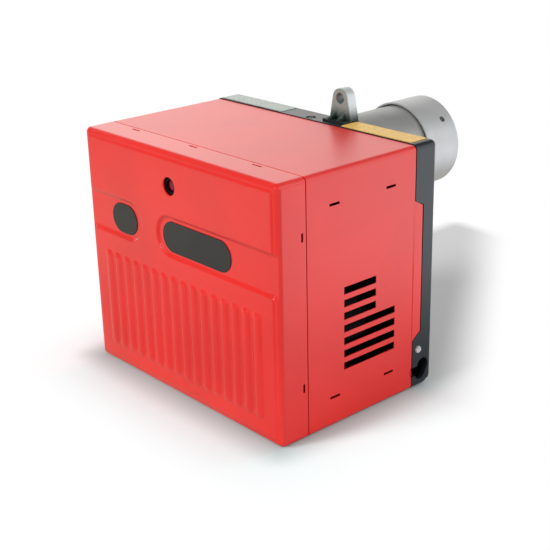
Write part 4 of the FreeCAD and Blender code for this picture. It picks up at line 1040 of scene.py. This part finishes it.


# Screws: zinc-plated steel with slots or crosses, driven into the casting, the ring, the air
# chamber and the motor. The one on the casting's top sits deep in its recess, and its colour is
# darkened there as painted shade.
zinc = (0.92, 0.92, 0.92, 1)
worn_zinc = (0.45, 0.46, 0.47, 1)
screw_painted_shade = (0.06, 0.06, 0.06, 1)
screw_shade_above = 50 * MM
screw_edge = 0.18 * MM
zinc_finish = bare_metal("zinc_plate", zinc, 0.34, grain=2200, depth=0.15, shine=0.5)
dark_zinc = bare_metal("dark_zinc", worn_zinc, 0.22, grain=2200, depth=0.15, shine=0.9)
zinc_painted_shade = bare_metal("zinc_painted_shade", zinc, 0.34, grain=2200, depth=0.15, shine=0.5)
# Painted shade: screw heads above this height are darkened.
overlaid(zinc_painted_shade, screw_painted_shade, lambda x, y, z: z, screw_shade_above, 0.0)
for node, finish in (
    ("housing_screws", zinc_painted_shade),
    ("ring_screws", dark_zinc),
    ("chamber_screws", zinc_finish),
    ("motor_screws", zinc_finish),
):
    softened(node, screw_edge, finish, crease=30)


# Blast tube: satin steel, rolled and welded, then a wider ring of thicker steel at its end. Both
# carry the fine marks that turning leaves round them.
tube_grey = (0.62, 0.62, 0.60, 1)
ring_grey = (0.82, 0.82, 0.82, 1)
satin = {"grain": 900, "depth": 0.10, "shine": 0.65, "spread": 0.16, "stretch": (0.02, 1.0, 0.02)}
softened("air_tube", 0.2 * MM, bare_metal("tube_steel", tube_grey, 0.46, **satin))
softened("blast_tube", 0.4 * MM, bare_metal("ring_steel", ring_grey, 0.46, **satin))


# Combustion head: the slotted flame disc, scorched by use, its three-armed holder, the brass
# nozzle on its line and the two electrodes in white ceramic.
scorched = bare_metal("scorched_steel", (0.20, 0.17, 0.15, 1), 0.45, grain=600, depth=0.2)
holder_steel = bare_metal("holder_steel", (0.42, 0.42, 0.42, 1), 0.40, grain=800, depth=0.2)
brass = bare_metal("nozzle_brass", (0.66, 0.48, 0.20, 1), 0.28, grain=1200, depth=0.1)
ceramic = moulded("ceramic_glaze", (0.80, 0.78, 0.72, 1), 0.12, grain=300, depth=0.03, layer=0.5)
for node, rounding, finish in (
    ("diffuser_disc", 0.2 * MM, scorched),
    ("disc_carrier", 0.3 * MM, holder_steel),
    ("electrode_clamp", 0.4 * MM, holder_steel),
    ("nozzle_line", 0.4 * MM, holder_steel),
    ("nozzle", 0.3 * MM, brass),
    ("electrode_insulators", 0.5 * MM, ceramic),
    ("electrode_rods", 0.1 * MM, scorched),
):
    softened(node, rounding, finish)


# Air chamber's front: a round die-cast plate that carries the nozzle line, screwed to the casting,
# with the plug-in light sensor beside the line.
plate_alloy = bare_metal("die_cast", (0.46, 0.47, 0.48, 1), 0.45, grain=900, depth=0.30)
black_plastic = moulded("black_plastic", (0.020, 0.020, 0.021, 1), 0.42, grain=1600, depth=0.25)
softened("chamber_cover", 0.5 * MM, plate_alloy)
softened("flame_sensor", 0.5 * MM, black_plastic)


# Motor and fan: a die-cast shell on a round plate, with the capacitor in a clip on top and the
# core and windings inside. Its shaft carries the fan wheel and drives the pump by a coupling.
core_steel = bare_metal("core_steel", (0.26, 0.26, 0.27, 1), 0.5, grain=400, depth=0.3)
shaft_steel = bare_metal("ground_steel", (0.60, 0.60, 0.60, 1), 0.22, grain=1500, depth=0.05)
can_white = moulded("can_plastic", (0.68, 0.68, 0.65, 1), 0.35, grain=900, depth=0.08)
galvanised = bare_metal("galvanised_sheet", (0.58, 0.60, 0.62, 1), 0.36, grain=260, depth=0.08)
for node, rounding, finish in (
    ("motor_shell", 0.6 * MM, plate_alloy),
    ("motor_plate", 0.6 * MM, plate_alloy),
    ("stator", 0.3 * MM, core_steel),
    ("rotor_core", 0.3 * MM, core_steel),
    ("motor_bearings", 0.3 * MM, shaft_steel),
    ("motor_shaft", 0.4 * MM, shaft_steel),
    ("pump_shaft", 0.3 * MM, shaft_steel),
    ("capacitor", 0.3 * MM, can_white),
    ("capacitor_clip", 0.2 * MM, galvanised),
    ("coupling", 0.6 * MM, black_plastic),
    ("fan_wheel", 0.15 * MM, galvanised),
):
    softened(node, rounding, finish)


# Damper and ram: a stamped plate on a pin in the intake's throat, and the small oil ram that
# pushes its lever.
for node, rounding, finish in (
    ("damper_flap", 0.25 * MM, plate_alloy),
    ("ram_cylinder", 0.5 * MM, plate_alloy),
    ("ram_piston", 0.3 * MM, shaft_steel),
):
    softened(node, rounding, finish)


# Pump: a machined block with its cover and plugs, painted black, with the valve's coil on top and
# the copper pipe that feeds the nozzle line. Its black is made deeper than paint, as painted shade
# seen through the vents.
pump_black_and_shade = (0.003, 0.003, 0.004, 1)
pump_paint_and_shade = moulded("pump_paint_and_shade", pump_black_and_shade, 0.45, grain=700, depth=0.2, mirror=0.15)
copper = bare_metal("copper_pipe", (0.70, 0.36, 0.22, 1), 0.26, grain=900, depth=0.06)
for node, rounding, finish in (
    ("pump_body", 0.8 * MM, pump_paint_and_shade),
    ("pump_cover", 0.7 * MM, pump_paint_and_shade),
    ("pump_plugs", 0.4 * MM, brass),
    ("solenoid_coil", 0.9 * MM, black_plastic),
    ("oil_pipe", 0.1 * MM, copper),
):
    softened(node, rounding, finish)


# Electrical pieces: the control box on its base and bent carrier plate, the ignition transformer
# and its two leads.
control_blue = moulded("control_plastic", (0.035, 0.045, 0.065, 1), 0.38, grain=1300, depth=0.25)
lead_black = moulded("lead_rubber", (0.014, 0.014, 0.015, 1), 0.5, grain=1100, depth=0.2)
for node, rounding, finish in (
    ("component_plate", 0.2 * MM, galvanised),
    ("control_base", 0.6 * MM, black_plastic),
    ("control_box", 0.6 * MM, control_blue),
    ("ignition_transformer", 1.0 * MM, black_plastic),
    ("ignition_leads", 0.1 * MM, lead_black),
):
    softened(node, rounding, finish)
